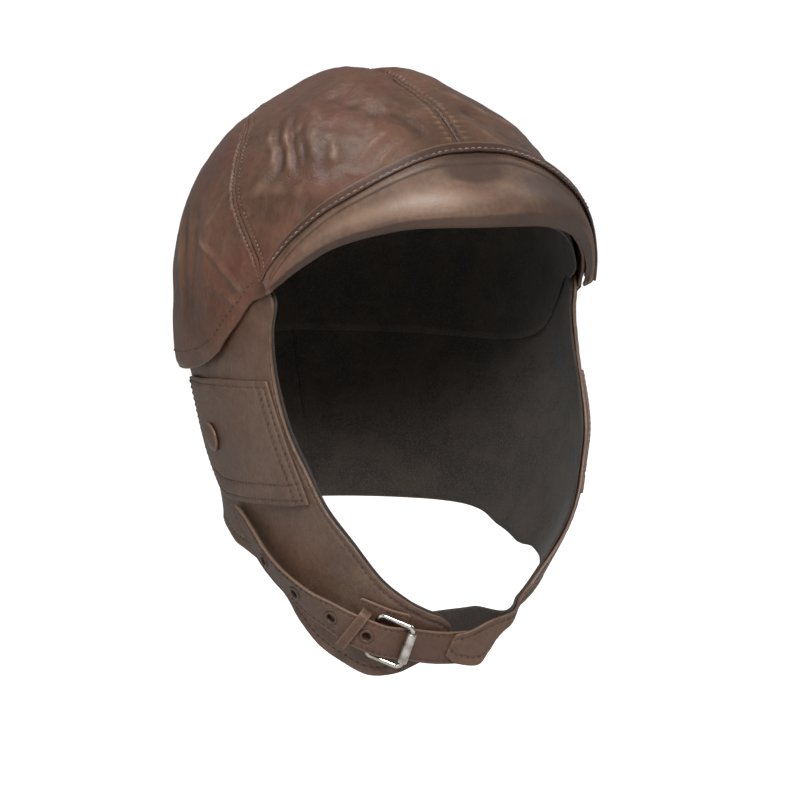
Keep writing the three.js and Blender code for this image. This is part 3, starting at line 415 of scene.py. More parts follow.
# Distance to a line of points and the length along it
def nearLine(points, line, normals):
    flat, ways = points.reshape(-1, 3), normals.reshape(-1, 3)
    lengths = np.concatenate([[0], np.cumsum(np.linalg.norm(np.diff(line, axis=0), axis=1))])
    best = np.full(len(flat), 1e9)
    run = np.zeros(len(flat))
    for k in range(len(line) - 1):
        edge = line[k + 1] - line[k]
        size = np.dot(edge, edge)
        t = np.clip((flat - line[k]) @ edge / size, 0, 1)
        off = line[k] + t[:, None] * edge - flat
        off -= ways * np.sum(off * ways, -1, keepdims=True)
        away = np.linalg.norm(off, axis=1)
        closer = away < best
        best = np.where(closer, away, best)
        run = np.where(closer, lengths[k] + t * math.sqrt(size), run)
    return best.reshape(points.shape[:-1]), run.reshape(points.shape[:-1])


def lineOf(side, rows, steps=60):
    return rowPoint(side, rows, np.linspace(0, len(rows["turn"]) - 1, steps + 1))


# Mesh pieces
def newMesh(name, points, faces, recalc=True, weld=0):
    mesh = bpy.data.meshes.new(name)
    faces = faces if isinstance(faces, list) else faces.tolist()
    mesh.from_pydata((np.asarray(points) * toMetres).tolist(), [], faces)
    if recalc:
        bm = bmesh.new()
        bm.from_mesh(mesh)
        if weld:
            bmesh.ops.remove_doubles(bm, verts=bm.verts, dist=weld)
        bmesh.ops.recalc_face_normals(bm, faces=bm.faces)
        bm.to_mesh(mesh)
        bm.free()
    return mesh


def meshPiece(name, points, faces, material, replaced=(), wearAndPaintedLight=None, recalc=True):
    mesh = newMesh(name, points, faces, recalc)
    mesh.polygons.foreach_set("use_smooth", [True] * len(mesh.polygons))
    mesh.attributes.new("wearAndPaintedLight", "FLOAT", "POINT")
    values = np.zeros(len(points)) if wearAndPaintedLight is None else np.asarray(wearAndPaintedLight, float).ravel()
    mesh.attributes["wearAndPaintedLight"].data.foreach_set("value", values)
    mesh.materials.append(material)
    mesh.update()
    piece = placed(name, mesh)
    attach(piece, "root")
    if replaced:
        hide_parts(*replaced)
    return piece


# Closed wall from an outer and an inner grid, with a rounded edge: bulge is how round, for
# the first row, last column, last row and first column
def wallMesh(outer, inner, wearAndPaintedLight, bulge, arcs=3, edgeRub=0.35, insideShade=0.5):
    rows, cols = outer.shape[:2]
    count = rows * cols
    index = np.arange(count).reshape(rows, cols)
    quads = np.stack([index[:-1, :-1], index[:-1, 1:], index[1:, 1:], index[1:, :-1]], -1).reshape(-1, 4)
    faces = [quads, (quads + count)[:, ::-1]]
    loop = np.concatenate([index[0, :], index[1:, -1], index[-1, -2::-1], index[-2:0:-1, 0]])
    out = np.zeros((rows, cols, 3))
    out[0, :] += unit(outer[0] - outer[1]) * bulge[0]
    out[:, -1] += unit(outer[:, -1] - outer[:, -2]) * bulge[1]
    out[-1, :] += unit(outer[-1] - outer[-2]) * bulge[2]
    out[:, 0] += unit(outer[:, 0] - outer[:, 1]) * bulge[3]
    top, low = outer.reshape(-1, 3)[loop], inner.reshape(-1, 3)[loop]
    centre, half = (top + low) / 2, (top - low) / 2
    reach = np.linalg.norm(half, axis=1, keepdims=True)
    outward = out.reshape(-1, 3)[loop]
    points = [outer.reshape(-1, 3), inner.reshape(-1, 3)]
    rings = [loop]
    for k in range(arcs):
        angle = math.pi * (k + 1) / (arcs + 1)
        points.append(centre + half * math.cos(angle) + outward * reach * math.sin(angle))
        rings.append(2 * count + k * len(loop) + np.arange(len(loop)))
    rings.append(loop + count)
    for a, b in zip(rings, rings[1:]):
        faces.append(np.stack([a, b, np.roll(b, -1), np.roll(a, -1)], -1))
    # The rounded rim is rubbed lighter; the inner face is painted with shade
    edgeRubAndShade = wearAndPaintedLight.reshape(-1)[loop] + edgeRub
    values = np.concatenate([wearAndPaintedLight.ravel(), wearAndPaintedLight.ravel() - insideShade] + [edgeRubAndShade] * arcs)
    return np.concatenate(points), np.concatenate(faces), values


# A wall as a piece in place of the node of its own name, or of the one given
def wallPiece(name, outer, inner, wearAndPaintedLight, bulge, material, nodeName=None):
    points, faces, values = wallMesh(outer, inner, wearAndPaintedLight, bulge)
    replaced = [nodeName or name.replace(".", "_")]
    return meshPiece(name, points, faces, material, replaced, values)


# What stands out of its surroundings gets rubbed lighter; what lies low gets painted shade
def wearAndShadeOf(relief, reach=3, gain=0.9):
    soft = relief.copy()
    for _ in range(3):
        for axis in (0, 1):
            size = soft.shape[axis]
            total = np.zeros_like(soft)
            for k in range(-reach, reach + 1):
                total += np.take(soft, np.clip(np.arange(size) + k, 0, size - 1), axis)
            soft = total / (2 * reach + 1)
    return np.clip((relief - soft) * gain, -1, 1)


# Thread: one small bowed stitch after another along a line on a surface
def stitchRow(line, normals, pitch, length, radius, lift=0.0, sides=6, rings=5):
    steps = np.linalg.norm(np.diff(line, axis=0), axis=1)
    run = np.concatenate([[0], np.cumsum(steps)])
    count = max(int(run[-1] / pitch), 1)
    at = (np.arange(count) + 0.5) * run[-1] / count
    place = lambda s, values: np.stack([np.interp(s, run, values[:, k]) for k in range(3)], -1)
    centre, up = place(at, line), place(at, normals)
    way = place(at + length / 2, line) - place(at - length / 2, line)
    way = unit(way)
    up = unit(up - way * np.sum(up * way, -1, keepdims=True))
    across = np.cross(way, up)
    angles = np.arange(sides) / sides * 2 * math.pi
    shape = []
    for k in range(rings):
        t = (k + 0.5) / rings * 2 - 1
        thick = radius * math.sqrt(max(1 - abs(t) ** 3, 0.05))
        bow = radius * (0.5 - 1.3 * t * t)
        for angle in angles:
            shape.append((t * length / 2, thick * math.cos(angle), thick * math.sin(angle) + bow))
    shape.append((-length / 2 - radius * 0.3, 0, -radius))
    shape.append((length / 2 + radius * 0.3, 0, -radius))
    shape = np.array(shape)
    faces = []
    for k in range(rings - 1):
        for j in range(sides):
            a, b = k * sides + j, k * sides + (j + 1) % sides
            faces += [(a, b, b + sides), (a, b + sides, a + sides)]
    end = rings * sides
    for j in range(sides):
        faces.append((end, (j + 1) % sides, j))
        faces.append((end + 1, end - sides + j, end - sides + (j + 1) % sides))
    faces = np.array(faces)
    points = (
        centre[:, None]
        + way[:, None] * shape[None, :, :1]
        + across[:, None] * shape[None, :, 1:2]
        + up[:, None] * (shape[None, :, 2:3] + lift)
    )
    allFaces = faces[None] + (np.arange(count) * len(shape))[:, None, None]
    return points.reshape(-1, 3), allFaces.reshape(-1, 3)


def threadPiece(name, rows, material):
    points, faces, start = [], [], 0
    for rowPoints, rowFaces in rows:
        points.append(rowPoints)
        faces.append(rowFaces + start)
        start += len(rowPoints)
    points, faces = np.concatenate(points), np.concatenate(faces)
    return meshPiece(name, points, faces, material, (), recalc=False)


# Node tools
floatSocket, colorSocket = "NodeSocketFloat", "NodeSocketColor"


def link(tree, a, b):
    tree.links.new(a, b)


def node(tree, kind, **values):
    made = tree.nodes.new(kind)
    for key, value in values.items():
        if key in made.inputs.keys():
            made.inputs[key].default_value = value
        else:
            setattr(made, key, value)
    return made


def mathNode(tree, operation, a, b=None):
    made = node(tree, "ShaderNodeMath", operation=operation)
    for k, value in enumerate((a, b)):
        if isinstance(value, (int, float)):
            made.inputs[k].default_value = value
        elif value is not None:
            link(tree, value, made.inputs[k])
    return made.outputs[0]


def scaled(tree, value, amount):
    return mathNode(tree, "MULTIPLY", value, amount)


def added(tree, total, *others):
    for other in others:
        total = mathNode(tree, "ADD", total, other)
    return total


def mixColor(tree, factor, a, b):
    made = node(tree, "ShaderNodeMix", data_type="RGBA")
    for socket, value in ((made.inputs[0], factor), (made.inputs[6], a), (made.inputs[7], b)):
        if isinstance(value, (int, float, tuple)):
            socket.default_value = value
        else:
            link(tree, value, socket)
    return made.outputs[2]


def ramp(tree, value, low, high):
    made = node(tree, "ShaderNodeMapRange", interpolation_type="SMOOTHSTEP")
    made.inputs["From Min"].default_value = low
    made.inputs["From Max"].default_value = high
    link(tree, value, made.inputs["Value"])
    return made.outputs["Result"]


def objectCoords(tree):
    return node(tree, "ShaderNodeTexCoord").outputs["Object"]


def mapped(tree, coords, **values):
    made = node(tree, "ShaderNodeMapping", **values)
    link(tree, coords, made.inputs["Vector"])
    return made.outputs[0]


def noiseNode(tree, coords, output="Fac", **values):
    made = node(tree, "ShaderNodeTexNoise", **values)
    link(tree, coords, made.inputs["Vector"])
    return made.outputs[output]


def newGroup(name, inputs, outputs):
    group = bpy.data.node_groups.new(name, "ShaderNodeTree")
    for socketName, kind, value in inputs:
        made = group.interface.new_socket(name=socketName, in_out="INPUT", socket_type=kind)
        made.default_value = value
    for socketName, kind in outputs:
        group.interface.new_socket(name=socketName, in_out="OUTPUT", socket_type=kind)
    inside, outside = node(group, "NodeGroupInput"), node(group, "NodeGroupOutput")
    return group, inside.outputs, outside.inputs


def placedGroup(tree, group, **values):
    return node(tree, "ShaderNodeGroup", node_tree=group, **values).outputs


def newMaterial(name):
    material = bpy.data.materials.new(name)
    material.use_nodes = True
    tree = material.node_tree
    return material, tree, tree.nodes["Principled BSDF"]


def bumped(tree, shader, height, strength, distance):
    bump = node(tree, "ShaderNodeBump", Strength=strength, Distance=distance)
    link(tree, height, bump.inputs["Height"])
    link(tree, bump.outputs["Normal"], shader.inputs["Normal"])


def srgb(red, green, blue):
    linear = lambda c: c / 255 / 12.92 if c <= 10 else ((c / 255 + 0.055) / 1.055) ** 2.4
    return (linear(red), linear(green), linear(blue), 1.0)


# Leather: pores, fine creases and soft wrinkles as a height
def makeHideGrain():
    inputs = [
        ("Pore Size", floatSocket, 900.0),
        ("Pores", floatSocket, 0.35),
        ("Wrinkles", floatSocket, 0.6),
    ]
    group, inside, outside = newGroup("hideGrain", inputs, [("Height", floatSocket)])
    coords = objectCoords(group)
    moved = node(group, "ShaderNodeVectorMath", operation="MULTIPLY_ADD")
    link(group, noiseNode(group, coords, "Color", Scale=240.0, Detail=2.0), moved.inputs[0])
    moved.inputs[1].default_value = (0.0012, 0.0012, 0.0012)
    link(group, coords, moved.inputs[2])
    pores = node(group, "ShaderNodeTexVoronoi", feature="DISTANCE_TO_EDGE")
    link(group, moved.outputs[0], pores.inputs["Vector"])
    link(group, inside["Pore Size"], pores.inputs["Scale"])
    bumps = ramp(group, pores.outputs["Distance"], 0.0, 0.25)
    lengthwise = mapped(group, coords, Scale=(1.0, 1.0, 0.45))
    folds = noiseNode(group, lengthwise, Scale=150.0, Detail=5.0, Roughness=0.55, Distortion=0.8)
    ridges = mathNode(group, "ABSOLUTE", mathNode(group, "SUBTRACT", folds, 0.5))
    wrinkles = ramp(group, ridges, 0.0, 0.12)
    swell = noiseNode(group, coords, Scale=55.0, Detail=3.0, Roughness=0.5)
    total = added(
        group,
        scaled(group, bumps, inside["Pores"]),
        scaled(group, wrinkles, inside["Wrinkles"]),
        scaled(group, swell, 2.2),
    )
    link(group, total, outside["Height"])
    return group


# Leather: uneven dye, redder patches, rubbed ridges, painted highlights, and painted shade in creases,
# hollows and hidden faces
def makeHideTone():
    inputs = [
        ("Base", colorSocket, srgb(96, 74, 61)),
        ("Deep", colorSocket, srgb(58, 42, 35)),
        ("Red", colorSocket, srgb(98, 62, 50)),
        ("RubbedSheen", colorSocket, srgb(138, 116, 99)),
        ("Mottle", floatSocket, 0.5),
        ("Rubbing", floatSocket, 0.5),
        ("Gloss", floatSocket, 0.42),
    ]
    outputs = [("Color", colorSocket), ("Roughness", floatSocket)]
    group, inside, outside = newGroup("hideTone", inputs, outputs)
    coords = objectCoords(group)
    shifted = mapped(group, coords, Location=(0.31, 0.17, 0.53))
    wide = noiseNode(group, coords, Scale=24.0, Detail=4.0, Roughness=0.6, Distortion=0.6)
    patch = noiseNode(group, shifted, Scale=16.0, Detail=3.0, Roughness=0.55, Distortion=1.2)
    fine = noiseNode(group, coords, Scale=420.0, Detail=4.0, Roughness=0.65)
    wearAndPaintedLight = node(group, "ShaderNodeAttribute", attribute_name="wearAndPaintedLight").outputs["Fac"]
    dark = scaled(group, ramp(group, wide, 0.62, 0.36), inside["Mottle"])
    red = scaled(group, ramp(group, patch, 0.46, 0.66), inside["Mottle"])
    speckle = scaled(group, ramp(group, fine, 0.35, 0.7), 0.28)
    # A high attribute means rubbed leather, and on the peak and binding also a painted highlight; a low one
    # is painted shade
    rubAndSheen = scaled(group, ramp(group, wearAndPaintedLight, 0.06, 0.8), inside["Rubbing"])
    creaseShade = scaled(group, ramp(group, wearAndPaintedLight, -0.06, -0.7), 0.75)
    color = inside["Base"]
    for amount, tint in ((dark, "Deep"), (red, "Red"), (speckle, "Deep"), (rubAndSheen, "RubbedSheen"), (creaseShade, "Deep")):
        color = mixColor(group, amount, color, inside[tint])
    link(group, color, outside["Color"])
    rough = added(
        group,
        inside["Gloss"],
        scaled(group, mathNode(group, "SUBTRACT", wide, 0.5), 0.22),
        scaled(group, fine, 0.08),
        scaled(group, rubAndSheen, -0.08),
        scaled(group, creaseShade, 0.12),
    )
    link(group, rough, outside["Roughness"])
    return group


hideGrain, hideTone = makeHideGrain(), makeHideTone()


def leatherMaterial(name, s):
    material, tree, shader = newMaterial(name)
    colors = {key: srgb(*s[key.lower()]) for key in ("Base", "Deep", "Red", "RubbedSheen")}
    amounts = {key: s[key.lower()] for key in ("Mottle", "Rubbing", "Gloss")}
    tone = placedGroup(tree, hideTone, **colors, **amounts)
    grain = placedGroup(tree, hideGrain, Pores=s["pores"], Wrinkles=s["wrinkles"])
    link(tree, tone["Color"], shader.inputs["Base Color"])
    link(tree, tone["Roughness"], shader.inputs["Roughness"])
    bumped(tree, shader, grain["Height"], s["bump"], s["grainHeight"])
    shader.inputs["Specular IOR Level"].default_value = s["shine"]
    shader.inputs["Coat Weight"].default_value = s["coat"]
    shader.inputs["Coat Roughness"].default_value = s["coatRoughness"]
    return material


# Colours are red, green and blue up to 255
leatherSettings = {
    "base": (97, 69, 53),
    "deep": (50, 33, 25),
    "red": (98, 56, 43),
    "rubbedsheen": (138, 110, 90),
    "mottle": 0.5,
    "rubbing": 0.45,
    "gloss": 0.36,
    "pores": 0.3,
    "wrinkles": 0.5,
    "bump": 0.5,
    "grainHeight": 0.00022,
    "shine": 0.4,
    "coat": 0.05,
    "coatRoughness": 0.34,
}
# What each leather changes
leatherFinishes = {
    "crownLeather": {},
    "peakLeather": {"base": (108, 84, 68), "gloss": 0.45, "wrinkles": 0.2, "bump": 0.35},
    "flapLeather": {"base": (98, 77, 63), "red": (94, 64, 50), "rubbedsheen": (126, 106, 88), "gloss": 0.44},
    "strapLeather": {"base": (88, 68, 54), "red": (92, 60, 47), "gloss": 0.48, "wrinkles": 0.25},
    "bindingLeather": {"base": (66, 47, 38), "rubbing": 0.6, "wrinkles": 0.3},
    "snapPaint": {"base": (92, 66, 54), "pores": 0.0, "wrinkles": 0.0, "mottle": 0.2, "bump": 0.2},
    "eyeletPaint": {
        "base": (74, 57, 46), "gloss": 0.42, "pores": 0.0, "wrinkles": 0.1, "mottle": 0.3, "bump": 0.2,
    },
}
crownLeather, peakLeather, flapLeather, strapLeather, bindingLeather, snapPaint, eyeletPaint = (
    leatherMaterial(name, leatherSettings | own) for name, own in leatherFinishes.items()
)

clothSettings = {
    "dark": (32, 27, 23),
    "light": (52, 44, 37),
    "fuzz": (66, 57, 49),
    "roughness": 0.92,
    "sheen": 0.08,
    "bump": 0.6,
}


def clothMaterial(name, s):
    material, tree, shader = newMaterial(name)
    coords = objectCoords(tree)
    wide = noiseNode(tree, coords, Scale=60.0, Detail=5.0, Roughness=0.65)
    fuzz = noiseNode(tree, coords, Scale=1400.0, Detail=3.0, Roughness=0.7)
    color = mixColor(tree, ramp(tree, wide, 0.35, 0.68), srgb(*s["dark"]), srgb(*s["light"]))
    color = mixColor(tree, ramp(tree, fuzz, 0.4, 0.75), color, srgb(*s["fuzz"]))
    link(tree, color, shader.inputs["Base Color"])
    shader.inputs["Roughness"].default_value = s["roughness"]
    shader.inputs["Sheen Weight"].default_value = s["sheen"]
    shader.inputs["Sheen Roughness"].default_value = 0.5
    bumped(tree, shader, added(tree, fuzz, scaled(tree, wide, 2.0)), s["bump"], 0.0004)
    return material


threadSettings = {
    "brownThread": {"dark": (52, 37, 30), "light": (84, 62, 50)},
    "tanThread": {"dark": (110, 82, 64), "light": (158, 128, 106)},
}
twistShade = (44, 31, 25)


def threadMaterial(name, s):
    material, tree, shader = newMaterial(name)
    coords = objectCoords(tree)
    twist = node(tree, "ShaderNodeTexWave", Scale=900.0, Distortion=3.0, Detail=1.0)
    link(tree, coords, twist.inputs["Vector"])
    uneven = noiseNode(tree, coords, Scale=160.0, Detail=2.0)
    color = mixColor(tree, ramp(tree, uneven, 0.3, 0.7), srgb(*s["dark"]), srgb(*s["light"]))
    color = mixColor(tree, scaled(tree, twist.outputs["Fac"], 0.4), color, srgb(*twistShade))
    link(tree, color, shader.inputs["Base Color"])
    shader.inputs["Roughness"].default_value = 0.6
    bumped(tree, shader, twist.outputs["Fac"], 0.4, 0.0001)
    return material


# Steel: fine scratches and a little tarnish; used by the frame and the roller
def makeSteelWear():
    outputs = [("Color", colorSocket), ("Roughness", floatSocket), ("Height", floatSocket)]
    group, inside, outside = newGroup("steelWear", [("Polish", floatSocket, 0.15)], outputs)
    coords = objectCoords(group)
    smear = noiseNode(group, coords, Scale=260.0, Detail=4.0, Roughness=0.6)
    squashed = mapped(group, coords, Scale=(1.0, 1.0, 0.12))
    scratch = noiseNode(group, squashed, Scale=2200.0, Detail=2.0, Roughness=0.7)
    color = mixColor(group, ramp(group, smear, 0.35, 0.75), srgb(205, 201, 193), srgb(150, 142, 130))
    link(group, color, outside["Color"])
    link(group, added(group, inside["Polish"], scaled(group, smear, 0.16)), outside["Roughness"])
    link(group, scratch, outside["Height"])
    return group


steelWear = makeSteelWear()
steelSettings = {
    "polishedSteel": {"polish": 0.08, "scratches": 0.15},
    "satinSteel": {"polish": 0.28, "scratches": 0.5},
}


def steelMaterial(name, s):
    material, tree, shader = newMaterial(name)
    wearAndPaintedLight = placedGroup(tree, steelWear, Polish=s["polish"])
    shader.inputs["Metallic"].default_value = 1.0
    link(tree, wearAndPaintedLight["Color"], shader.inputs["Base Color"])
    link(tree, wearAndPaintedLight["Roughness"], shader.inputs["Roughness"])
    bumped(tree, shader, wearAndPaintedLight["Height"], s["scratches"], 0.00003)
    return material


liningCloth = clothMaterial("liningCloth", clothSettings)
brownThread, tanThread = (threadMaterial(name, s) for name, s in threadSettings.items())
polishedSteel, satinSteel = (steelMaterial(name, s) for name, s in steelSettings.items())
print("materials made")

# Crown: four panels on one form, with their seams, gathers and folds
crownSettings = {
    "seamRows": 210,
    "frontAcross": 100,
    "sideAcross": 130,
    "grooveDepth": 1.3,  # where two panels meet
    "grooveWidth": 0.8,
    "bandWidth": 2.3,  # from the groove to its stitches
    "sideDepth": 0.22,  # side seams lie flatter than the centre one
    "topDip": 2.6,
    "topPuff": 1.0,
    "stitchDip": 0.55,
    "sidePucker": 0.1,
    "centrePucker": 0.32,
    "puckerPitch": 4.2,
    "folds": 0.2,  # share of the part's fold heights
    "fineFolds": 0.8,
    "crumple": 0.6,
    "backRows": 8,  # rows along the back seam, past the side seam's end
    "hemStitchAt": 7.5,
    "sewing": {"pitch": 3.0, "length": 2.1, "radius": 0.3},
    "sideSewing": {"pitch": 2.2, "length": 1.3, "radius": 0.2, "lift": 0.05},
}
stitchPoints = 200
foldHeight, foldReach = 3.0, 10.0
crownFolds = table(
    "side turn drop toTurn toDrop reach height",
    (-1, 66, 0.2, 68, 0.42, 0.45, 0.75),
    (-1, 58, 0.19, 61, 0.4, 0.45, 0.7),
    (-1, 74, 0.24, 75, 0.4, 0.4, 0.6),
    (-1, 62, 0.21, 64, 0.4, 0.35, -0.6),
    (-1, 70, 0.22, 72, 0.42, 0.35, -0.6),
    (-1, 26, 0.12, 10, 0.26, 0.9, -0.8),
    (-1, 40, 0.29, 24, 0.16, 0.5, 0.6),
    (-1, 72, 0.46, 46, 0.42, 0.7, 0.6),
    (-1, 90, 0.5, 84, 0.72, 0.6, 0.7),
    (-1, 84, 0.72, 71, 0.85, 0.5, 0.6),
    (-1, 110, 0.46, 112, 0.9, 0.7, 0.3),
    (-1, 128, 0.4, 132, 0.85, 0.8, 0.35),
    (1, 60, 0.2, 66, 0.42, 0.5, 0.7),
    (1, 70, 0.24, 73, 0.42, 0.4, 0.6),
    (1, 20, 0.06, 38, 0.22, 0.9, 0.15),
    (1, 92, 0.45, 86, 0.8, 0.6, 0.6),
    (1, 124, 0.42, 128, 0.88, 0.8, 0.7),
)
# Finer folds: height and reach in millimetres, then turn and drop along each
fineFolds = [
    (-1, -0.9, 2.2, (77, 0.192), (66, 0.304), (62, 0.396)),
    (-1, 0.8, 2.0, (77, 0.225), (69, 0.31), (65, 0.385)),
    (-1, 0.9, 1.8, (72.5, 0.188), (63.5, 0.304), (59.5, 0.385)),
    (-1, -1.1, 1.8, (68.5, 0.2), (60.5, 0.304), (57, 0.376)),
    (-1, -0.7, 1.8, (63, 0.216), (57, 0.3), (54.5, 0.364)),
    (-1, 0.9, 3.4, (58, 0.2), (54, 0.29), (51, 0.375)),
    (-1, 0.9, 4.5, (75, 0.14), (54, 0.2), (47, 0.3), (45, 0.36)),
    (-1, -0.7, 5.0, (50, 0.2), (42, 0.28), (39, 0.38)),
    (-1, -1.5, 5.5, (60, 0.105), (43, 0.15), (32, 0.18), (20, 0.2), (13.5, 0.27)),
    (-1, 0.7, 5.0, (70, 0.09), (50, 0.1), (30, 0.12), (14, 0.16)),
    (-1, 1.0, 2.2, (38, 0.35), (32.5, 0.276), (25, 0.216)),
    (-1, 0.6, 1.6, (33, 0.37), (27, 0.3), (21, 0.26)),
    (-1, 1.0, 4.5, (75, 0.445), (59.5, 0.445), (44, 0.42)),
    (-1, -0.9, 6.0, (73, 0.53), (60, 0.53), (46, 0.5)),
    (-1, 1.0, 1.5, (89, 0.62), (77, 0.712), (70, 0.795)),
    (-1, 0.9, 1.5, (80, 0.44), (86, 0.58)),
    (-1, 0.9, 4.0, (108, 0.544), (99, 0.736), (96, 0.96)),
    (-1, -0.9, 3.4, (94, 0.504), (90, 0.728), (90, 0.94)),
    (-1, 0.8, 3.4, (87, 0.5), (84, 0.7), (81, 0.9)),
    (-1, -0.8, 3.0, (104, 0.5), (95, 0.74), (93, 0.9)),
    (-1, 0.8, 4.0, (124, 0.4), (128, 0.9)),
    (-1, 0.8, 2.0, (70, 0.86), (76, 0.8), (84, 0.77)),
    (1, 1.1, 3.0, (18, 0.1), (29, 0.184), (54.5, 0.276)),
    (1, -0.9, 4.0, (14.5, 0.148), (24, 0.23), (42, 0.32)),
    (1, 0.8, 2.5, (12, 0.22), (20, 0.3), (30, 0.36)),
    (1, 0.9, 3.5, (62, 0.2), (68, 0.4)),
    (1, -0.8, 3.0, (70, 0.22), (74, 0.42)),
    (1, 0.9, 4.0, (92, 0.5), (87, 0.85)),
    (1, -0.8, 4.0, (104, 0.5), (100, 0.9)),
    (1, 0.8, 4.0, (124, 0.42), (128, 0.88)),
    (1, 0.9, 4.0, (30, 0.45), (52, 0.5)),
]
seamLines = {side: lineOf(side, sideSeam) for side in (-1, 1)}
hemLines = {side: lineOf(side, hem) for side in (-1, 1)}


def foldRelief(points, normals):
    height = np.zeros(points.shape[:-1])
    for fold in eachRow(crownFolds):
        drops = np.array([fold["drop"], fold["toDrop"]]) * crownDrop
        ends = formPoint(fold["side"], [fold["turn"], fold["toTurn"]], drops)
        away, _ = nearLine(points + 1.5 * noise(points, 14.0, 5)[..., None], ends, normals)
        height += fold["height"] * foldHeight * bump(away, 0, fold["reach"] * foldReach)
    return height


def fineRelief(side, points, normals):
    height = np.zeros(points.shape[:-1])
    bent = points + 0.9 * noise(points, 12.0, 6)[..., None]
    for foldSide, rise, reach, *places in fineFolds:
        if foldSide != side:
            continue
        spots = np.array(places, float)
        t = np.linspace(0, len(spots) - 1, 6 * len(spots))
        line = formPoint(side, along(spots[:, 0], t), along(spots[:, 1], t) * crownDrop)
        away, run = nearLine(bent, line, normals)
        length = np.sum(np.linalg.norm(np.diff(line, axis=0), axis=1))
        ends = smooth((run + 2) / 9) * smooth((length + 2 - run) / 9)
        height += rise * ends * bump(away, 0, reach) * (1 + 0.35 * noise(points, 7.0, 8))
    return height


# The two halves puff up beside the centre seam over the top
def topDip(points):
    high = smooth((points[..., 2] + 36) / 26) * smooth((points[..., 1] + 62) / 40)
    off = np.abs(points[..., 0])
    puff = crownSettings["topPuff"] * bump(off, 18, 9)
    return high * (puff - crownSettings["topDip"] * bump(off, 0, 7.5))


# Groove, stitch lines, cords under the leather and puckers beside a seam
def seamProfile(away, run, s, pucker, depth):
    groove = -s["grooveDepth"] * depth * bump(away, 0, s["grooveWidth"])
    stitches = -s["stitchDip"] * bump(away, s["bandWidth"], 0.6)
    cords = 0.35 * bump(away, 1.2, 0.6) + 0.4 * bump(away, 3.6, 0.9)
    cords = depth * cords
    wave = np.sin(2 * math.pi * run / s["puckerPitch"] + 1.3 * np.sin(run / 11.0))
    wave = wave * (0.35 + 0.65 * smooth(0.5 + 0.5 * np.sin(run / 7.3 + 2.0 * np.sin(run / 17.0))))
    pucker = pucker * wave * bump(away, 1.7 * s["bandWidth"], 2.8)
    broad = -0.9 * depth * bump(away, 0, 6.0)
    return groove + stitches + cords + pucker + broad


def crownRelief(side, points, normals, s=crownSettings):
    toHem, _ = nearLine(points, hemLines[side], normals)
    toSeam, seamRun = nearLine(points, seamLines[side], normals)
    centreRun = 100 * np.arctan2(points[..., 2] - middle[2], -points[..., 1])
    seams = seamProfile(np.abs(points[..., 0]), centreRun, s, s["centrePucker"], 1.0)
    seams = seams + seamProfile(toSeam, seamRun, s, s["sidePucker"], s["sideDepth"])
    folds = s["folds"] * foldRelief(points, normals) + s["fineFolds"] * fineRelief(side, points, normals)
    rumple = s["crumple"] * (
        1.0 * noise(points, 26.0, 1)
        + 0.55 * noise(points * (1, 1, 0.6), 12.0, 2)
        + 0.45 * crease(points * (1, 1, 0.5), 9.0, 3)
        + 0.26 * crease(points * (1, 1, 0.6), 4.5, 4)
    )
    away = toHem / form["puffReach"]
    puff = form["hemPuff"] * np.exp(-away * away) * smooth((turnOf(points) - 66) / 16)
    clear = smooth((toHem - form["hemUnderlap"]) / 6.0)
    fade = smooth(toHem / 3.0)
    rest = np.maximum(folds + rumple * fade + seams, -2.0)
    return np.where(rest < 0, rest * clear, rest) + puff + topDip(points)


# A grid with its four edges drawn in, for the gap to the next panel
def trimmed(grid, amount):
    made = grid.copy()
    made[:, 0] += unit(grid[:, 1] - grid[:, 0]) * amount
    made[:, -1] += unit(grid[:, -2] - grid[:, -1]) * amount
    made[0] += unit(grid[1] - grid[0]) * amount
    made[-1] += unit(grid[-2] - grid[-1]) * amount
    return made


def frontGrid(side, s):
    t = np.linspace(0, 1, s["seamRows"] + 1)[:, None]
    w = np.linspace(0, 1, s["frontAcross"] + 1)[None]
    rimAcross, rimOver = globeLine(side, sideSeam, t[:, 0])
    browAcross, browOver = globeLine(side, brow, w[0])
    startOver, cornerOver = browOver[0], rimOver[0]
    _, endOver = globeAngles(formPoint(side, 180, sideSeam["drop"][-1] * crownDrop))
    over = startOver + (endOver - startOver) * t
    fade = (1 - t) ** 3
    plainOver = over + (rimOver[:, None] - over) * w
    plainAcross = rimAcross[:, None] * w
    overAt = plainOver + (browOver[None] - (startOver + (cornerOver - startOver) * w)) * fade
    acrossAt = plainAcross + (browAcross[None] - rimAcross[0] * w) * fade
    return trimmed(globePoint(side, overAt, acrossAt), gap / 2)


def sideGrid(side, s):
    rows = s["seamRows"] + s["backRows"]
    i = np.linspace(0, 1, rows + 1)
    top = np.minimum(i * rows / s["seamRows"], 1) * (len(sideSeam["turn"]) - 1)
    low = i * (len(hem["turn"]) - 1)
    topTurn, topDrop = along(sideSeam["turn"], top), along(sideSeam["drop"], top)
    extra = np.clip((i * rows - s["seamRows"]) / s["backRows"], 0, 1)
    topTurn = topTurn + (180 - topTurn) * extra
    lowTurn, lowDrop = along(hem["turn"], low), along(hem["drop"], low)
    w = np.linspace(0, 1, s["sideAcross"] + 1)[None] ** 1.1
    drop = topDrop[:, None] + (lowDrop - topDrop)[:, None] * w
    turn = topTurn[:, None] + (lowTurn - topTurn)[:, None] * w
    return trimmed(formPoint(side, turn, drop * crownDrop), gap / 2)


sideNames = {-1: "right", 1: "left"}


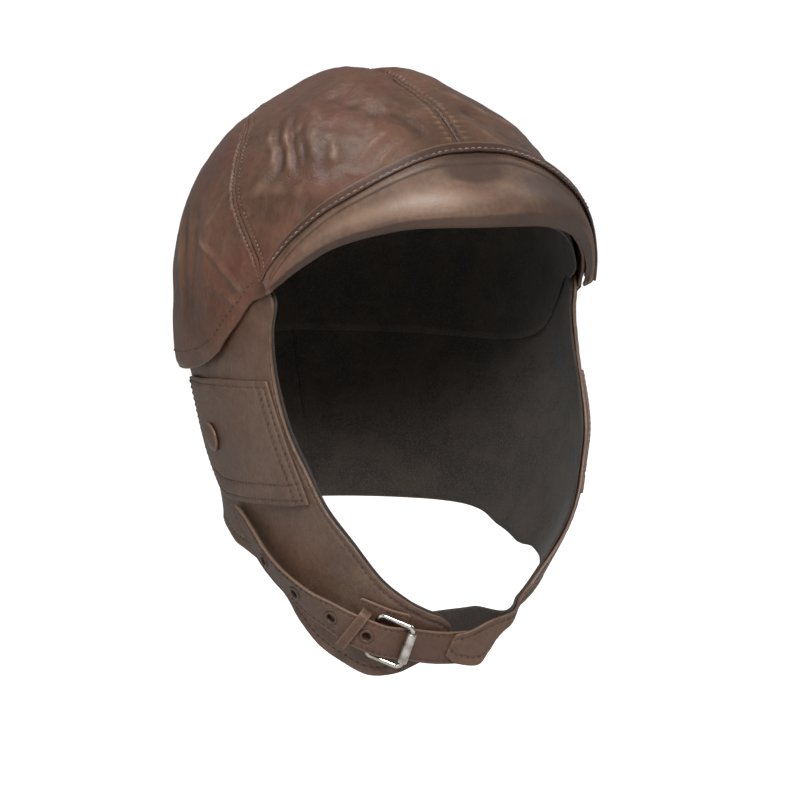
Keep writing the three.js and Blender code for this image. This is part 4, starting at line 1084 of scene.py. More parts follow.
def makeCrown(s):
    for side, sideName in sideNames.items():
        for part, grid, bulge in (
            ("front", frontGrid(side, s), (0.3, 0.2, 0.2, 0.2)),
            ("side", sideGrid(side, s), (0.2, 0.6, 0.2, 0.2)),
        ):
            normals = formNormal(grid)
            relief = crownRelief(side, grid, normals)
            outer = grid + normals * relief[..., None]
            dip = topDip(grid)
            inner = grid + normals * (np.maximum(relief - dip, -1.3) + dip - leather)[..., None]
            name = f"crown.{part}.{sideName}"
            wallPiece(name, outer, inner, wearAndShadeOf(relief), bulge, crownLeather)


def onCrown(side, line, s=crownSettings):
    normals = formNormal(line)
    return line + normals * crownRelief(side, line[None], normals[None], s)[0][:, None], normals


def offsetLine(line, normals, amount):
    return line + unit(np.cross(np.gradient(line, axis=0), normals)) * amount


def crownStitches(s):
    rows, sideRows = [], []
    for side in sideNames:
        _, start = globeAngles(formPoint(side, 0, brow["drop"][0] * crownDrop))
        _, end = globeAngles(formPoint(side, 180, hem["drop"][-1] * crownDrop))
        reach = end - start + (2 * math.pi if end < start else 0)
        turns = start + reach * np.linspace(0.02, 0.98, stitchPoints)
        centre = onForm(np.stack([0 * turns, -np.cos(turns), np.sin(turns)], -1))
        centre = centre + np.array([side * s["bandWidth"], 0, 0])
        rows.append(stitchRow(*onCrown(side, centre, s), **s["sewing"]))
        seam = seamLines[side]
        for amount in (-s["bandWidth"], s["bandWidth"]):
            moved = offsetLine(seam, formNormal(seam), amount)[2:-1]
            sideRows.append(stitchRow(*onCrown(side, moved, s), **s["sideSewing"]))
        t = np.linspace(0.6, len(hem["turn"]) - 1.02, stitchPoints)
        edge = rowPoint(side, hem, t, s["hemStitchAt"])
        rows.append(stitchRow(*onCrown(side, edge, s), **s["sewing"]))
    threadPiece("crown.thread", rows, brownThread)
    threadPiece("crown.seamThread", sideRows, tanThread)


makeCrown(crownSettings)
crownStitches(crownSettings)
print("crown made")

# Flaps over ears, cheeks, chin and neck, and what lines them
flapSettings = {
    "steps": 260,
    "across": 70,
    "flareLeft": 12.5,
    "flareRight": 2.5,
    "flareFrom": (0.85, 0.5),  # drop where the flare starts, and how far it takes to grow
    "flareTo": (1.5, 0.42),
    "flareBack": (104, 44),  # turn where it has gone again, and from how far
    "flareFront": 55,
    "lapAt": (28, 13),
    "tuckAt": (15, 9),
    "liningShow": 0.2,
    "strapWall": 2.2,
    "chinLift": 0.7,
    "hemAt": 3.2,  # stitches inside the face edge
    "lowHemAt": 4.0,  # stitches inside the bottom edge
    "grooveDepth": 0.4,
    "grooveWidth": 0.8,
    "crumple": 0.5,
    "liningSteps": 130,
    "liningAcross": 26,
    "sewing": {"pitch": 2.9, "length": 2.0, "radius": 0.27},
}
chinOver = (1 + flapSettings["chinLift"]) * flapSettings["strapWall"] + gap + leather
chinUnder = leather + lining + 3 * gap
flares = {-1: flapSettings["flareRight"], 1: flapSettings["flareLeft"]}


# How far the flaps stand off the form at the cheeks
def hangOf(side, turn, drop, s=flapSettings):
    share = drop / crownDrop
    (start, grow), (end, fade), (back, run) = s["flareFrom"], s["flareTo"], s["flareBack"]
    low = smooth((share - start) / grow) * (1 - smooth((share - end) / fade))
    return flares[side] * smooth((back - turn) / run) * low * smooth(turn / s["flareFront"])


# Under the chin the left leather lies over the strap, and the left lining behind the right flap
def leatherHang(side, turn, drop, s=flapSettings):
    start, run = s["lapAt"]
    lap = chinOver * smooth((start - turn) / run) if side > 0 else 0
    return hangOf(side, turn, drop) + lap


def liningHang(side, turn, drop, s=flapSettings):
    start, run = s["tuckAt"]
    tuck = (chinOver + chinUnder) * smooth((start - turn) / run) if side > 0 else 0
    return leatherHang(side, turn, drop) - tuck


def underHem(turn):
    return valueAt(hem, "drop", turn) * crownDrop - form["hemUnderlap"]


# Points, turns, drops and distances from the edges between an upper and a lower edge, with a
# margin at each; from the row followFrom on, the upper edge follows the hem
def patchGrid(side, rows, steps, across, margins=(0, 0), followFrom=None, span=(0, 1)):
    rows = rows if isinstance(rows, dict) else table("upper upperDrop lower lowerDrop", *rows)
    t = np.linspace(span[0], span[1], steps + 1) * (len(rows["upper"]) - 1)
    topTurn, lowTurn = along(rows["upper"], t), along(rows["lower"], t)
    topDrop = along(rows["upperDrop"], t) * crownDrop
    lowDrop = along(rows["lowerDrop"], t) * crownDrop
    if followFrom is not None:
        topDrop = np.where(t > followFrom, underHem(topTurn), topDrop)
    ends = formPoint(side, np.stack([topTurn, lowTurn]), np.stack([topDrop, lowDrop]))
    length = np.maximum(np.linalg.norm(ends[0] - ends[1], axis=-1), 2.0)[:, None]
    w = np.linspace(0, 1, across + 1)[None]
    w = margins[0] / length + (1 - (margins[0] + margins[1]) / length) * w
    turn = topTurn[:, None] + (lowTurn - topTurn)[:, None] * w
    drop = topDrop[:, None] + (lowDrop - topDrop)[:, None] * w
    return formPoint(side, turn, drop), turn, drop, w * length, (1 - w) * length


def flapTable(rows):
    behind = [(a, float(underHem(a)) / crownDrop, c, d) for a, _, c, d in neckline]
    return rows + behind


def flapRumple(points, s=flapSettings):
    return s["crumple"] * (
        0.9 * noise(points, 30.0, 11)
        + 0.5 * noise(points * (1, 1, 0.7), 13.0, 12)
        + 0.22 * crease(points * (1, 1, 0.5), 9.0, 13)
    ) - 0.35


def flapRelief(points, turn, drop, fromTop, fromLow, s=flapSettings):
    groove = lambda away: s["grooveDepth"] * bump(away, 0, s["grooveWidth"])
    faceEdge = smooth((66 - turn) / 3)
    relief = flapRumple(points) - groove(fromLow - s["lowHemAt"]) - groove(fromTop - s["hemAt"]) * faceEdge
    pucker = np.sin(points[..., 2] + points[..., 1]) * 0.12
    relief += pucker * (bump(fromLow, 2, 1) + bump(fromTop, 1.5, 1) * faceEdge)
    hidden = smooth((underHem(np.clip(turn, 63, 180)) + form["hemUnderlap"] + 3 - drop) / 6)
    return np.where(hidden > 0, np.minimum(relief, 0.1 - 0.3 * hidden), relief)


flapShapes = {-1: (flapRight, flapRight), 1: (flapLeft, liningLeft)}


def flapSurface(side, turn, drop, fromTop, fromLow):
    points = formPoint(side, turn, drop)
    normals = formNormal(points)
    relief = flapRelief(points, turn, drop, fromTop, fromLow)
    return points, normals, relief, flapOuter + leatherHang(side, turn, drop)


def makeFlapLeather(side, sideName, s):
    rows = flapShapes[side][0]
    grid = patchGrid(side, flapTable(rows), s["steps"], s["across"], (0.6, 0.6), len(rows))
    points, normals, relief, offset = flapSurface(side, *grid[1:])
    points[-1, :, 0] = side * gap / 2
    outer = points + normals * (offset + relief)[..., None]
    inner = points + normals * (offset + np.minimum(relief, 0) - leather)[..., None]
    bulge = (0.8, 0.8, 0.2, 0.8)
    wallPiece(f"flap.{sideName}", outer, inner, wearAndShadeOf(relief), bulge, flapLeather)


def makeFlapLining(side, sideName, s):
    rows = flapShapes[side][1]
    grid = patchGrid(side, flapTable(rows), s["liningSteps"], s["liningAcross"], (0, 0.9), len(rows))
    points, turn, drop = grid[:3]
    t = np.linspace(0, 1, s["liningSteps"] + 1)
    temple = (len(rows) - 1) / (len(rows) + len(neckline) - 1)
    show = np.where(t < temple, s["liningShow"] * smooth(12 * t), 0)
    points[:, 0] += unit(points[:, 0] - points[:, 1]) * show[:, None]
    points[-1, :, 0] = side * gap / 2
    normals = formNormal(points)
    relief = 0.25 * noise(points, 16.0, 21) - 0.25
    offset = liningOuter + liningHang(side, turn, drop)
    outer = points + normals * (offset + relief)[..., None]
    inner = points + normals * (offset + relief - lining + 0.5 * noise(points, 22.0, 22))[..., None]
    bulge = (1, 0.5, 0.2, 0.5)
    wallPiece(f"lining.{sideName}", outer, inner, relief * 0, bulge, liningCloth)


def makeFlaps(s):
    for side, sideName in sideNames.items():
        makeFlapLeather(side, sideName, s)
        makeFlapLining(side, sideName, s)


def flapStitches(s):
    rows = []
    for side in sideNames:
        outerRows = flapShapes[side][0]
        full = flapTable(outerRows)
        temple = (len(outerRows) - 1) / (len(full) - 1)
        faceEdge = ((s["hemAt"], 0), 0, (0.02, temple))
        lowEdge = ((0, s["lowHemAt"]), -1, (0.0, 0.995))
        for margins, pick, span in (faceEdge, lowEdge):
            grid = patchGrid(side, full, 300, 4, margins, len(outerRows), span)
            points, normals, relief, offset = flapSurface(side, *[values[:, pick] for values in grid[1:]])
            line = points + normals * (offset + relief)[:, None]
            rows.append(stitchRow(line, normals, **s["sewing"]))
    threadPiece("flap.thread", rows, brownThread)


makeFlaps(flapSettings)
flapStitches(flapSettings)
print("flaps made")

# Ear panels, a second layer with double stitching, and their snap caps
earSettings = {
    "steps": 110,
    "across": 70,
    "wall": 1.2,
    "edgeAt": 2.3,
    "lowLineAt": 9.0,  # inner stitch line above the bottom edge
    "frontLineAt": 6.8,
    "lineEndTurn": 97.0,  # the inner line stops short of the rounded back corner
    "sewing": {"pitch": 2.6, "length": 1.8, "radius": 0.22, "lift": 0.12},
    "snapTurn": 90.0,
    "snapDrop": 1.325,
    "snapRadius": 6.3,
    "snapHeight": 2.4,
}
earInner = flapOuter + gap
farOff = 9.0


def earSurface(side, turn, drop, edge, innerLine):
    points = formPoint(side, turn, drop)
    normals = formNormal(points)
    relief = np.maximum(flapRumple(points), -0.3) + 0.45 * smooth(edge / 4)
    relief -= 0.35 * bump(edge, earSettings["edgeAt"], 0.6)
    relief -= 0.35 * bump(innerLine, 0, 0.7)
    return points, normals, relief, earInner + earSettings["wall"] + hangOf(side, turn, drop)


def earGrid(side, s):
    points, turn, drop, fromTop, fromLow = patchGrid(side, earPanelRows, s["steps"], s["across"])
    fromFront = np.linalg.norm(points - points[:1], axis=-1)
    fromBack = np.linalg.norm(points - points[-1:], axis=-1)
    edge = np.minimum(np.minimum(fromTop, fromLow), np.minimum(fromFront, fromBack))
    innerLine = np.minimum(np.abs(fromLow - s["lowLineAt"]), np.abs(fromFront - s["frontLineAt"]))
    return turn, drop, edge, np.where(turn < s["lineEndTurn"], innerLine, farOff)


def earStitches(surface, s):
    rows = []
    steps = np.arange(s["steps"] + 1)
    width = float(np.linalg.norm(surface[20, 0] - surface[20, -1]))
    length = float(np.linalg.norm(surface[0, 30] - surface[-1, 30]))
    span = np.linspace(0.015, 0.985, 140)
    short = np.linspace(0.012, 0.72, 120)
    lowLine = 1 - s["lowLineAt"] / width
    for share, part in ((s["edgeAt"] / width, span), (1 - s["edgeAt"] / width, span), (lowLine, short)):
        edge = surface[:, int(round(share * s["across"]))]
        line = np.stack([np.interp(part * s["steps"], steps, edge[:, k]) for k in range(3)], -1)
        rows.append(stitchRow(line, formNormal(line), **s["sewing"]))
    for share in (s["edgeAt"] / length, 1 - s["edgeAt"] / length, s["frontLineAt"] / length):
        line = surface[int(round(share * s["steps"])), 1:-1]
        rows.append(stitchRow(line, formNormal(line), **s["sewing"]))
    return rows


def makeEarPanels(s):
    rows = []
    for side, sideName in sideNames.items():
        points, normals, relief, offset = earSurface(side, *earGrid(side, s))
        outer = points + normals * (offset + relief)[..., None]
        inner = points + normals * (offset - s["wall"] + np.minimum(relief, 0.3))[..., None]
        name, nodeName = f"earPanel.{sideName}", f"ear_panel_{sideName}"
        bulge = (0.5, 0.5, 0.5, 0.5)
        wallPiece(name, outer, inner, wearAndShadeOf(relief), bulge, flapLeather, nodeName)
        rows += earStitches(outer, s)
    threadPiece("earPanel.thread", rows, brownThread)


# A profile of radius and height turned about an axis
def latheMesh(profile, origin, axis, side, steps):
    axis = unit(axis)
    first = unit(np.cross(axis, side))
    second = np.cross(axis, first)
    angles = np.arange(steps) / steps * 2 * math.pi
    points = [
        origin + axis * h + (first * math.cos(a) + second * math.sin(a)) * r
        for r, h in profile
        for a in angles
    ]
    faces = []
    for k in range(len(profile) - 1):
        for j in range(steps):
            a, b = k * steps + j, k * steps + (j + 1) % steps
            faces.append((a, b, b + steps, a + steps))
    return np.array(points), faces


def hungPoint(side, turn, drop):
    point = formPoint(side, turn, drop)
    return point + formNormal(point[None])[0] * hangOf(side, np.array(turn), np.array(drop))


# Shares of the cap's radius and height
snapProfile = [
    (0, 0), (0.9, 0), (0.98, 0.06), (1, 0.2), (0.985, 0.36), (0.93, 0.47),
    (0.86, 0.5), (0.8, 0.56), (0.7, 0.7), (0.52, 0.86), (0.3, 0.96), (0, 1),
]
snapSteps = 48


def makeSnaps(s):
    radius, height = s["snapRadius"], s["snapHeight"]
    for side, sideName in sideNames.items():
        turn, drop = s["snapTurn"], s["snapDrop"] * crownDrop
        spot = hungPoint(side, turn, drop)
        out = unit(np.cross(hungPoint(side, turn + 3, drop) - spot, hungPoint(side, turn, drop + 3) - spot))
        out = out if np.dot(out, spot) > 0 else -out
        bow = radius**2 / (2 * form["halfWidth"])
        base = spot + out * (earInner + s["wall"] + gap + bow)
        profile = [(max(a * radius, 0.01), b * height) for a, b in snapProfile]
        points, faces = latheMesh(profile, base, out, np.array([0.0, 0.0, 1.0]), snapSteps)
        shares = np.repeat([r / radius for r, _ in profile], snapSteps)
        wearAndPaintedLight = bump(shares, 0.95, 0.05) * 0.7
        meshPiece(f"snap.{sideName}", points, faces, snapPaint, [f"snap_{sideName}"], wearAndPaintedLight)


makeEarPanels(earSettings)
makeSnaps(earSettings)
print("ear panels made")

# Lining of the crown
crownLiningSettings = {
    "turns": 180,
    "rings": 60,
    "lap": 5.0,
    "wave": 0.25,
}


def makeCrownLining(s):
    around = np.arange(s["turns"]) / s["turns"] * 360
    side = np.where(around <= 180, 1, -1)
    turn = np.where(around <= 180, around, 360 - around)
    edge = np.where(turn <= 62.4, valueAt(brow, "drop", turn) * crownDrop, underHem(turn) + s["lap"])
    share = np.linspace(0, 1, s["rings"] + 1)[1:, None]
    outerAt = -leather - liningRoom
    points = formPoint(side[None], turn[None], edge[None] * share**1.7)
    normals = formNormal(points)
    deep = smooth((turn[None] - 57) / 8) * smooth(3 * share - 2)
    offset = outerAt + (deepLining - outerAt) * deep
    offset = offset + (s["wave"] * noise(points, 20.0, 31) - s["wave"] + topDip(points))
    wall = lining - gap
    tip = apex + outerAt - s["wave"] - crownSettings["topDip"]
    outer = points + normals * offset[..., None]
    inner = points + normals * (offset - wall)[..., None]
    tops = [np.array([[0, 0, tip]]), np.array([[0, 0, tip - wall]])]
    allPoints = np.concatenate([tops[0], outer.reshape(-1, 3), tops[1], inner.reshape(-1, 3)])
    count = 1 + s["rings"] * s["turns"]
    index = 1 + np.arange(s["rings"] * s["turns"]).reshape(s["rings"], s["turns"])
    after = np.roll(index, -1, axis=1)
    quads = np.stack([index[:-1], index[1:], after[1:], after[:-1]], -1).reshape(-1, 4)
    faces = []
    for start in (0, count):
        faces += (quads + start).tolist()
        faces += [(start, int(a) + start, int(b) + start) for a, b in zip(index[0], after[0])]
    faces += [(int(a), int(b), int(b) + count, int(a) + count) for a, b in zip(index[-1], after[-1])]
    meshPiece("lining.crown", allPoints, faces, liningCloth, ["lining_crown"])


makeCrownLining(crownLiningSettings)
print("linings made")

# Peak with its bound edge
peakSettings = {
    "height": 31.0,
    "foot": 2.0,
    "wall": 2.6,
    "stand": 3.6,
    "bulge": 2.4,
    "roll": 0.85,  # fuller below the middle, hollow above it, tucked in at the foot
    "hollow": 0.8,
    "tuck": 1.9,
    "endDrop": 0.7,  # the left end runs out low
    "bindingDepth": 4.2,
    "bindingWall": 1.0,
    "bindingSteps": 300,
    "sewnFrom": 24,  # steps of the binding, from its right end
    "sewnTo": 238,
    "steps": 240,
    "across": 60,
    "sewing": {"pitch": 3.0, "length": 2.1, "radius": 0.27},
}
# Marks on the peak: place and reach along and up it, how dark and how deep. The first is a dent painted
# darker, the second a darker red patch, the third a painted highlight (its dark is negative)
peakMarks = table(
    "t w tReach wReach dark depth",
    (-0.04, 0.72, 0.1, 0.2, 1.2, 0.8),
    (0.34, 0.45, 0.2, 0.35, 1.1, 0),
    (-0.27, 0.34, 0.24, 0.22, -0.8, 0),
)
bindingRoom = 2 * gap + peakSettings["bindingWall"]


def peakRow(t):
    return np.abs(t) * (len(peakRows["turn"]) - 1)


# Point of the peak's inner face: t from its right end, -1, to its left, 1, and w from foot to top
def peakPoint(t, w, s=peakSettings):
    t, w = np.broadcast_arrays(t, w)
    row = peakRow(t)
    side = np.where(t < 0, -1, 1)
    turn = along(peakRows["turn"], row)
    foot = valueAt(brow, "drop", np.minimum(turn, 62.4)) * crownDrop + s["foot"]
    low = 1 - s["endDrop"] * smooth((t - 0.91) / 0.09)
    rise = along(peakRows["height"], row) * s["height"] * w * low
    stand = bindingRoom + along(peakRows["stand"], row) * s["stand"] * low
    bulge = along(peakRows["bulge"], row) * s["bulge"] * np.sin(math.pi * np.clip(w, 0, 1) ** 0.55)
    angle = np.radians(turn)
    out = np.stack([side * np.sin(angle), -np.cos(angle), np.zeros_like(angle)], -1)
    return formPoint(side, turn, foot - rise) + out * (gap + stand * smooth(w) + bulge)[..., None]


def peakSpot(t, w, probe=0.01):
    point = peakPoint(t, w)
    sideways = peakPoint(t + probe, w) - peakPoint(t - probe, w)
    upwards = peakPoint(t, np.minimum(w + probe, 1)) - peakPoint(t, np.maximum(w - probe, 0))
    return point, unit(np.cross(sideways, upwards))


def peakRelief(points, t, w, s):
    full = smooth((1 - np.abs(t)) * 6)
    relief = 0.35 * noise(points, 30.0, 41) + 0.12 * noise(points, 9.0, 42) - 0.2
    relief += full * (s["roll"] * bump(w, 0.36, 0.2) - s["hollow"] * bump(w, 0.8, 0.2))
    relief -= full * s["tuck"] * (1 - smooth(w / 0.2))
    # Painted shade: darker towards the foot, where the peak tucks under
    dark = 1.1 * (1 - smooth(w / 0.36)) * full
    for mark in eachRow(peakMarks):
        here = bump(t, mark["t"], mark["tReach"]) * bump(w, mark["w"], mark["wReach"])
        relief -= mark["depth"] * here
        dark = dark + mark["dark"] * here
    fromTop = (1 - w) * np.maximum(along(peakRows["height"], peakRow(t)) * s["height"], 4)
    relief -= 0.35 * bump(fromTop, s["bindingDepth"] + 1.2, 0.8)
    return relief * smooth(fromTop / 3), dark


def makePeak(s):
    t = np.linspace(-1, 1, s["steps"] + 1)[:, None]
    w = np.linspace(0, 1, s["across"] + 1)[None]
    points, normals = peakSpot(t, w)
    relief, dark = peakRelief(points, t, w, s)
    outer = points + normals * (s["wall"] + relief)[..., None]
    # Painted shade at the foot and the first mark, and a painted highlight from the third mark, go into the
    # attribute
    wearAndPaintedLight = wearAndShadeOf(relief, 4, 1.6) - dark
    wallPiece("peak", outer, points, wearAndPaintedLight, (0.6, 0.6, 0.6, 0.6), peakLeather)


# Out and up from the peak's upper edge: a leg on each side and a round over the top
def bindingOutline(s, inner, outer):
    depth = s["bindingDepth"]
    leg = [
        (inner, -depth),
        (outer - 0.25, -depth - 0.15),
        (outer + 0.05, -depth + 0.5),
        (outer + 0.22, -depth * 0.55),
        (outer + 0.1, -0.6),
    ]
    angles = np.linspace(0.15, math.pi - 0.15, 9)
    arc = [(outer * math.cos(a), gap + outer * 0.62 * math.sin(a)) for a in angles]
    return np.array(leg + arc + [(-x, y) for x, y in leg[::-1]] + [(-inner, gap), (inner, gap)])


def makeBinding(s):
    legInner = s["wall"] / 2 + gap
    legOuter = legInner + s["bindingWall"]
    depth = s["bindingDepth"]
    outline = bindingOutline(s, legInner, legOuter)
    span = np.linspace(-0.985, 0.985, s["bindingSteps"])
    point, normal = peakSpot(span, np.ones(len(span)))
    origin = point + normal * s["wall"] / 2
    height = along(peakRows["height"], peakRow(span)) * s["height"]
    tall = np.minimum(1, height / (4.5 * depth))
    lower, lowerNormal = peakSpot(span, 1 - depth * tall / height)
    up = unit(origin - (lower + lowerNormal * s["wall"] / 2))
    out = unit(normal - up * np.sum(normal * up, -1, keepdims=True))
    rise = outline[None, :, 1]
    rise = np.where(rise < 0, rise * tall[:, None], rise)
    ripple = 1 + 0.025 * noise(origin, 5.0, 43)[:, None]
    points = origin[:, None] + out[:, None] * (outline[None, :, 0] * ripple)[..., None]
    points = points + up[:, None] * rise[..., None]
    # Painted shade on the legs' inner faces and the lip under them; the round top is painted lighter, as
    # rubbed leather and as a highlight
    faceRubAndShade = np.where(np.abs(outline[:, 0]) > legOuter, 0.05, -0.4)
    wearAndPaintedLight = np.where(outline[:, 1] > 0.4, 0.5, faceRubAndShade)
    loftPiece("peak.binding", points, bindingLeather, ["peak_binding"], wearAndPaintedLight)
    sewn = slice(s["sewnFrom"], s["sewnTo"])
    line = origin + out * (legOuter + 0.16) - up * (depth * 0.8 * tall)[:, None]
    rows = [stitchRow(line[sewn], out[sewn], **s["sewing"])]
    threadPiece("peak.thread", rows, tanThread)


# Bar through stations of equal outline, with flat ends or closed on itself
def loftPiece(name, stations, material, replaced, wearAndPaintedLight=None, closed=False):
    count, size = stations.shape[:2]
    index = np.arange(count * size).reshape(count, size)
    after = np.roll(index, -1, axis=1)
    nextRow = np.roll(index, -1, axis=0) if closed else index[1:]
    nextAfter = np.roll(after, -1, axis=0) if closed else after[1:]
    here, hereAfter = (index, after) if closed else (index[:-1], after[:-1])
    faces = np.stack([here, hereAfter, nextAfter, nextRow], -1).reshape(-1, 4).tolist()
    if not closed:
        faces += [index[0].tolist(), index[-1][::-1].tolist()]
    if wearAndPaintedLight is not None:
        wearAndPaintedLight = np.broadcast_to(wearAndPaintedLight[None], stations.shape[:2])
    return meshPiece(name, stations.reshape(-1, 3), faces, material, replaced, wearAndPaintedLight)


makePeak(peakSettings)
makeBinding(peakSettings)
print("peak made")

# Chin strap with its holes, eyelets, keeper, tab and roller buckle
strapSettings = {
    "width": 15.0,
    "wall": 2.2,
    "holeRadius": 2.4,
    "holeTurns": (-73.2, -60.8, -46.0, -32.4),
    "eyeletRadius": 3.25,
    "eyeletBore": 1.75,
    "eyeletRise": 0.6,
    "edgeAt": 1.5,  # stitches inside each edge
    "steps": 420,
    "sewing": {"pitch": 2.7, "length": 1.9, "radius": 0.24},
    "slack": 0.6,
}
buckleSettings = {
    "tabWidth": 20.0,
    "tabRaise": 2.5,
    "tabWall": 1.2,
    "tabClear": 0.6,
    "tabTurns": (-40.0, -19.0),
    "tabSteps": 90,
    "tabEdgeAt": 1.3,
    "wireRadius": 1.1,
    "rollerRadius": 2.1,
    "length": 15.0,
    "corner": 2.4,
    "play": 0.9,
    "rollerTurn": -17.7,
    "keeperTurn": -37.6,
    "keeperSkew": 14.0,
    "keeperSlack": 1.0,
    "keeperWidth": 4.5,
    "keeperWall": 1.1,
}


def strapFrame(t):
    signed = along(strapRows["turn"], t)
    turn = np.abs(signed)
    drop = along(strapRows["drop"], t) * crownDrop
    right = signed < 0
    point = np.where(right[..., None], formPoint(-1, turn, drop), formPoint(1, turn, drop))
    hang = np.where(right, hangOf(-1, turn, drop), hangOf(1, turn, drop))
    return point, formNormal(point), flapOuter + hang


def strapPlace(t):
    t = np.atleast_1d(np.asarray(t, float))
    last = len(strapRows["turn"]) - 1
    point, normal, relief = strapFrame(t)
    way = unit(strapFrame(np.minimum(t + 0.05, last))[0] - strapFrame(np.maximum(t - 0.05, 0))[0])
    across = unit(np.cross(normal, way))
    across = np.where(across[..., 2:3] < 0, -across, across)
    lean = np.radians(along(strapRows["lean"], t))[:, None]
    width = along(strapRows["width"], t)
    half = strapSettings["width"] / 2 * width
    wall = strapSettings["wall"]
    lift = along(strapRows["lift"], t) * wall + wall / 2 + half * np.sin(lean[:, 0])
    return {
        "point": point,
        "normal": normal,
        "relief": relief,
        "way": way,
        "across": across,
        "origin": point + normal * (relief + lift)[:, None],
        "up": normal * np.cos(lean) - across * np.sin(lean),
        "wide": across * np.cos(lean) + normal * np.sin(lean),
        "scale": width,
    }


def strapRowAt(turn):
    t = np.linspace(0, len(strapRows["turn"]) - 1, 3000)
    return float(np.interp(turn, along(strapRows["turn"], t), t))


def strapSpot(t):
    return {key: value[0] for key, value in strapPlace(t).items()}


def holeCutter(spot, radius, reach=4.0, thin=0.0005):
    profile = [(thin, -reach), (radius, -reach), (radius, reach), (thin, reach)]
    points, faces = latheMesh(profile, spot["origin"], spot["up"], spot["way"], 32)
    return placed("hole", newMesh("hole", points, faces, weld=1e-5))


def cutHoles(piece, cutters):
    for cutter in cutters:
        modifier = piece.modifiers.new("hole", "BOOLEAN")
        modifier.operation = "DIFFERENCE"
        modifier.solver = "EXACT"
        modifier.object = cutter
    bpy.context.view_layer.update()
    graph = bpy.context.evaluated_depsgraph_get()
    mesh = bpy.data.meshes.new_from_object(piece.evaluated_get(graph))
    piece.modifiers.clear()
    old = piece.data
    piece.data = mesh
    bpy.data.meshes.remove(old)
    for cutter in cutters:
        bpy.data.objects.remove(cutter)


def strapOutline(s):
    half, wall = s["width"] / 2, s["wall"] / 2
    across = np.linspace(-half + 0.35, half - 0.35, 27)
    dip = 0.28 * bump(np.abs(across), (half - s["edgeAt"]), 0.45)
    top = np.stack([across, wall - dip + 0.1 * (1 - (across / half) ** 2)], -1)
    edge = [
        (half - 0.1, wall * 0.85),
        (half, wall * 0.6),
        (half, wall * 0.3),
        (half - 0.4, -wall * 0.1),
        (half - 0.8, -wall * 0.6),
    ]
    low = np.stack([across[::-1] * (half - 1.2) / half, np.full(len(across), -wall)], -1)
    return np.concatenate([top, edge, low, [(-x, y) for x, y in edge[::-1]]])


def makeStrap(s):
    last = len(strapRows["turn"]) - 1
    place = strapPlace(np.linspace(0, last, s["steps"] + 1))
    half, wall = s["width"] / 2, s["wall"] / 2
    outline = strapOutline(s)
    x, y = outline[None, :, :1], outline[None, :, 1:2]
    stations = place["origin"][:, None] + place["wide"][:, None] * (x * place["scale"][:, None, None])
    stations = stations + place["up"][:, None] * y
    uneven = 0.12 * noise(stations, 7.0, 51) + 0.1 * noise(stations, 3.0, 52)
    stations += place["up"][:, None] * uneven[..., None] * (y > 0)
    # The strap's underside is painted with shade; its edges are rubbed lighter
    faceRubAndShade = np.interp(outline[:, 1], [wall - 0.3, wall], [-0.4, 0.1])
    wearAndPaintedLight = np.where(np.abs(outline[:, 0]) > half - 0.5, 0.55, faceRubAndShade)
    piece = loftPiece("chinStrap", stations, strapLeather, ["chin_strap"], wearAndPaintedLight)
    spots = [strapSpot(strapRowAt(turn)) for turn in s["holeTurns"]]
    cutHoles(piece, [holeCutter(spot, s["holeRadius"]) for spot in spots])
    makeEyelets(spots, s)
    rows = []
    line = strapPlace(np.linspace(0.15, last, 500))
    for sign in (-1, 1):
        offset = sign * (half - s["edgeAt"]) * np.clip(line["scale"] * 1.08 - 0.12, 0, 1)
        path = line["origin"] + line["wide"] * offset[:, None] + line["up"] * (wall - 0.12)
        rows.append(stitchRow(path, line["up"], **s["sewing"]))
    threadPiece("chinStrap.thread", rows, brownThread)


def makeEyelets(spots, s, steps=40):
    wall, outer, bore = s["wall"] / 2, s["eyeletRadius"], s["eyeletBore"]
    low, barrel = wall + 0.12, s["holeRadius"] - 0.25
    top = low + s["eyeletRise"]
    profile = [
        (bore, -wall),
        (barrel, -wall),
        (barrel, low),
        (outer - 0.1, low),
        (outer, low + 0.15),
        (outer - 0.05, top - 0.3),
        (outer - 0.45, top - 0.05),
        (outer - 0.95, top),
        (bore + 0.45, top - 0.03),
        (bore + 0.12, top - 0.25),
        (bore, top - 0.6),
        (bore, -wall),
    ]
    # The top of the rim is rubbed lighter; the barrel, bore and underside are painted with shade
    wearAndPaintedLight = np.repeat([0.15 if height > top - 0.2 else -0.5 for _, height in profile], steps)
    for k, spot in enumerate(spots, 1):
        points, faces = latheMesh(profile, spot["origin"], spot["up"], spot["way"], steps)
        meshPiece(f"eyelet.{k}", points, faces, eyeletPaint, [f"eyelet_{k}"], wearAndPaintedLight)


# Closed ring of an outline, rectangular with rounded corners
def ringStations(origin, first, second, halfFirst, halfSecond, corner, outline, turns):
    stations = []
    third = np.cross(first, second)
    for k, (a, b) in enumerate(((1, 1), (-1, 1), (-1, -1), (1, -1))):
        for i in range(turns + 1):
            angle = (k + i / turns) * math.pi / 2
            out = first * math.cos(angle) + second * math.sin(angle)
            centre = origin + first * a * (halfFirst - corner) + second * b * (halfSecond - corner)
            centre = centre + out * corner
            stations.append([centre + out * x + third * y for x, y in outline])
    return np.array(stations)


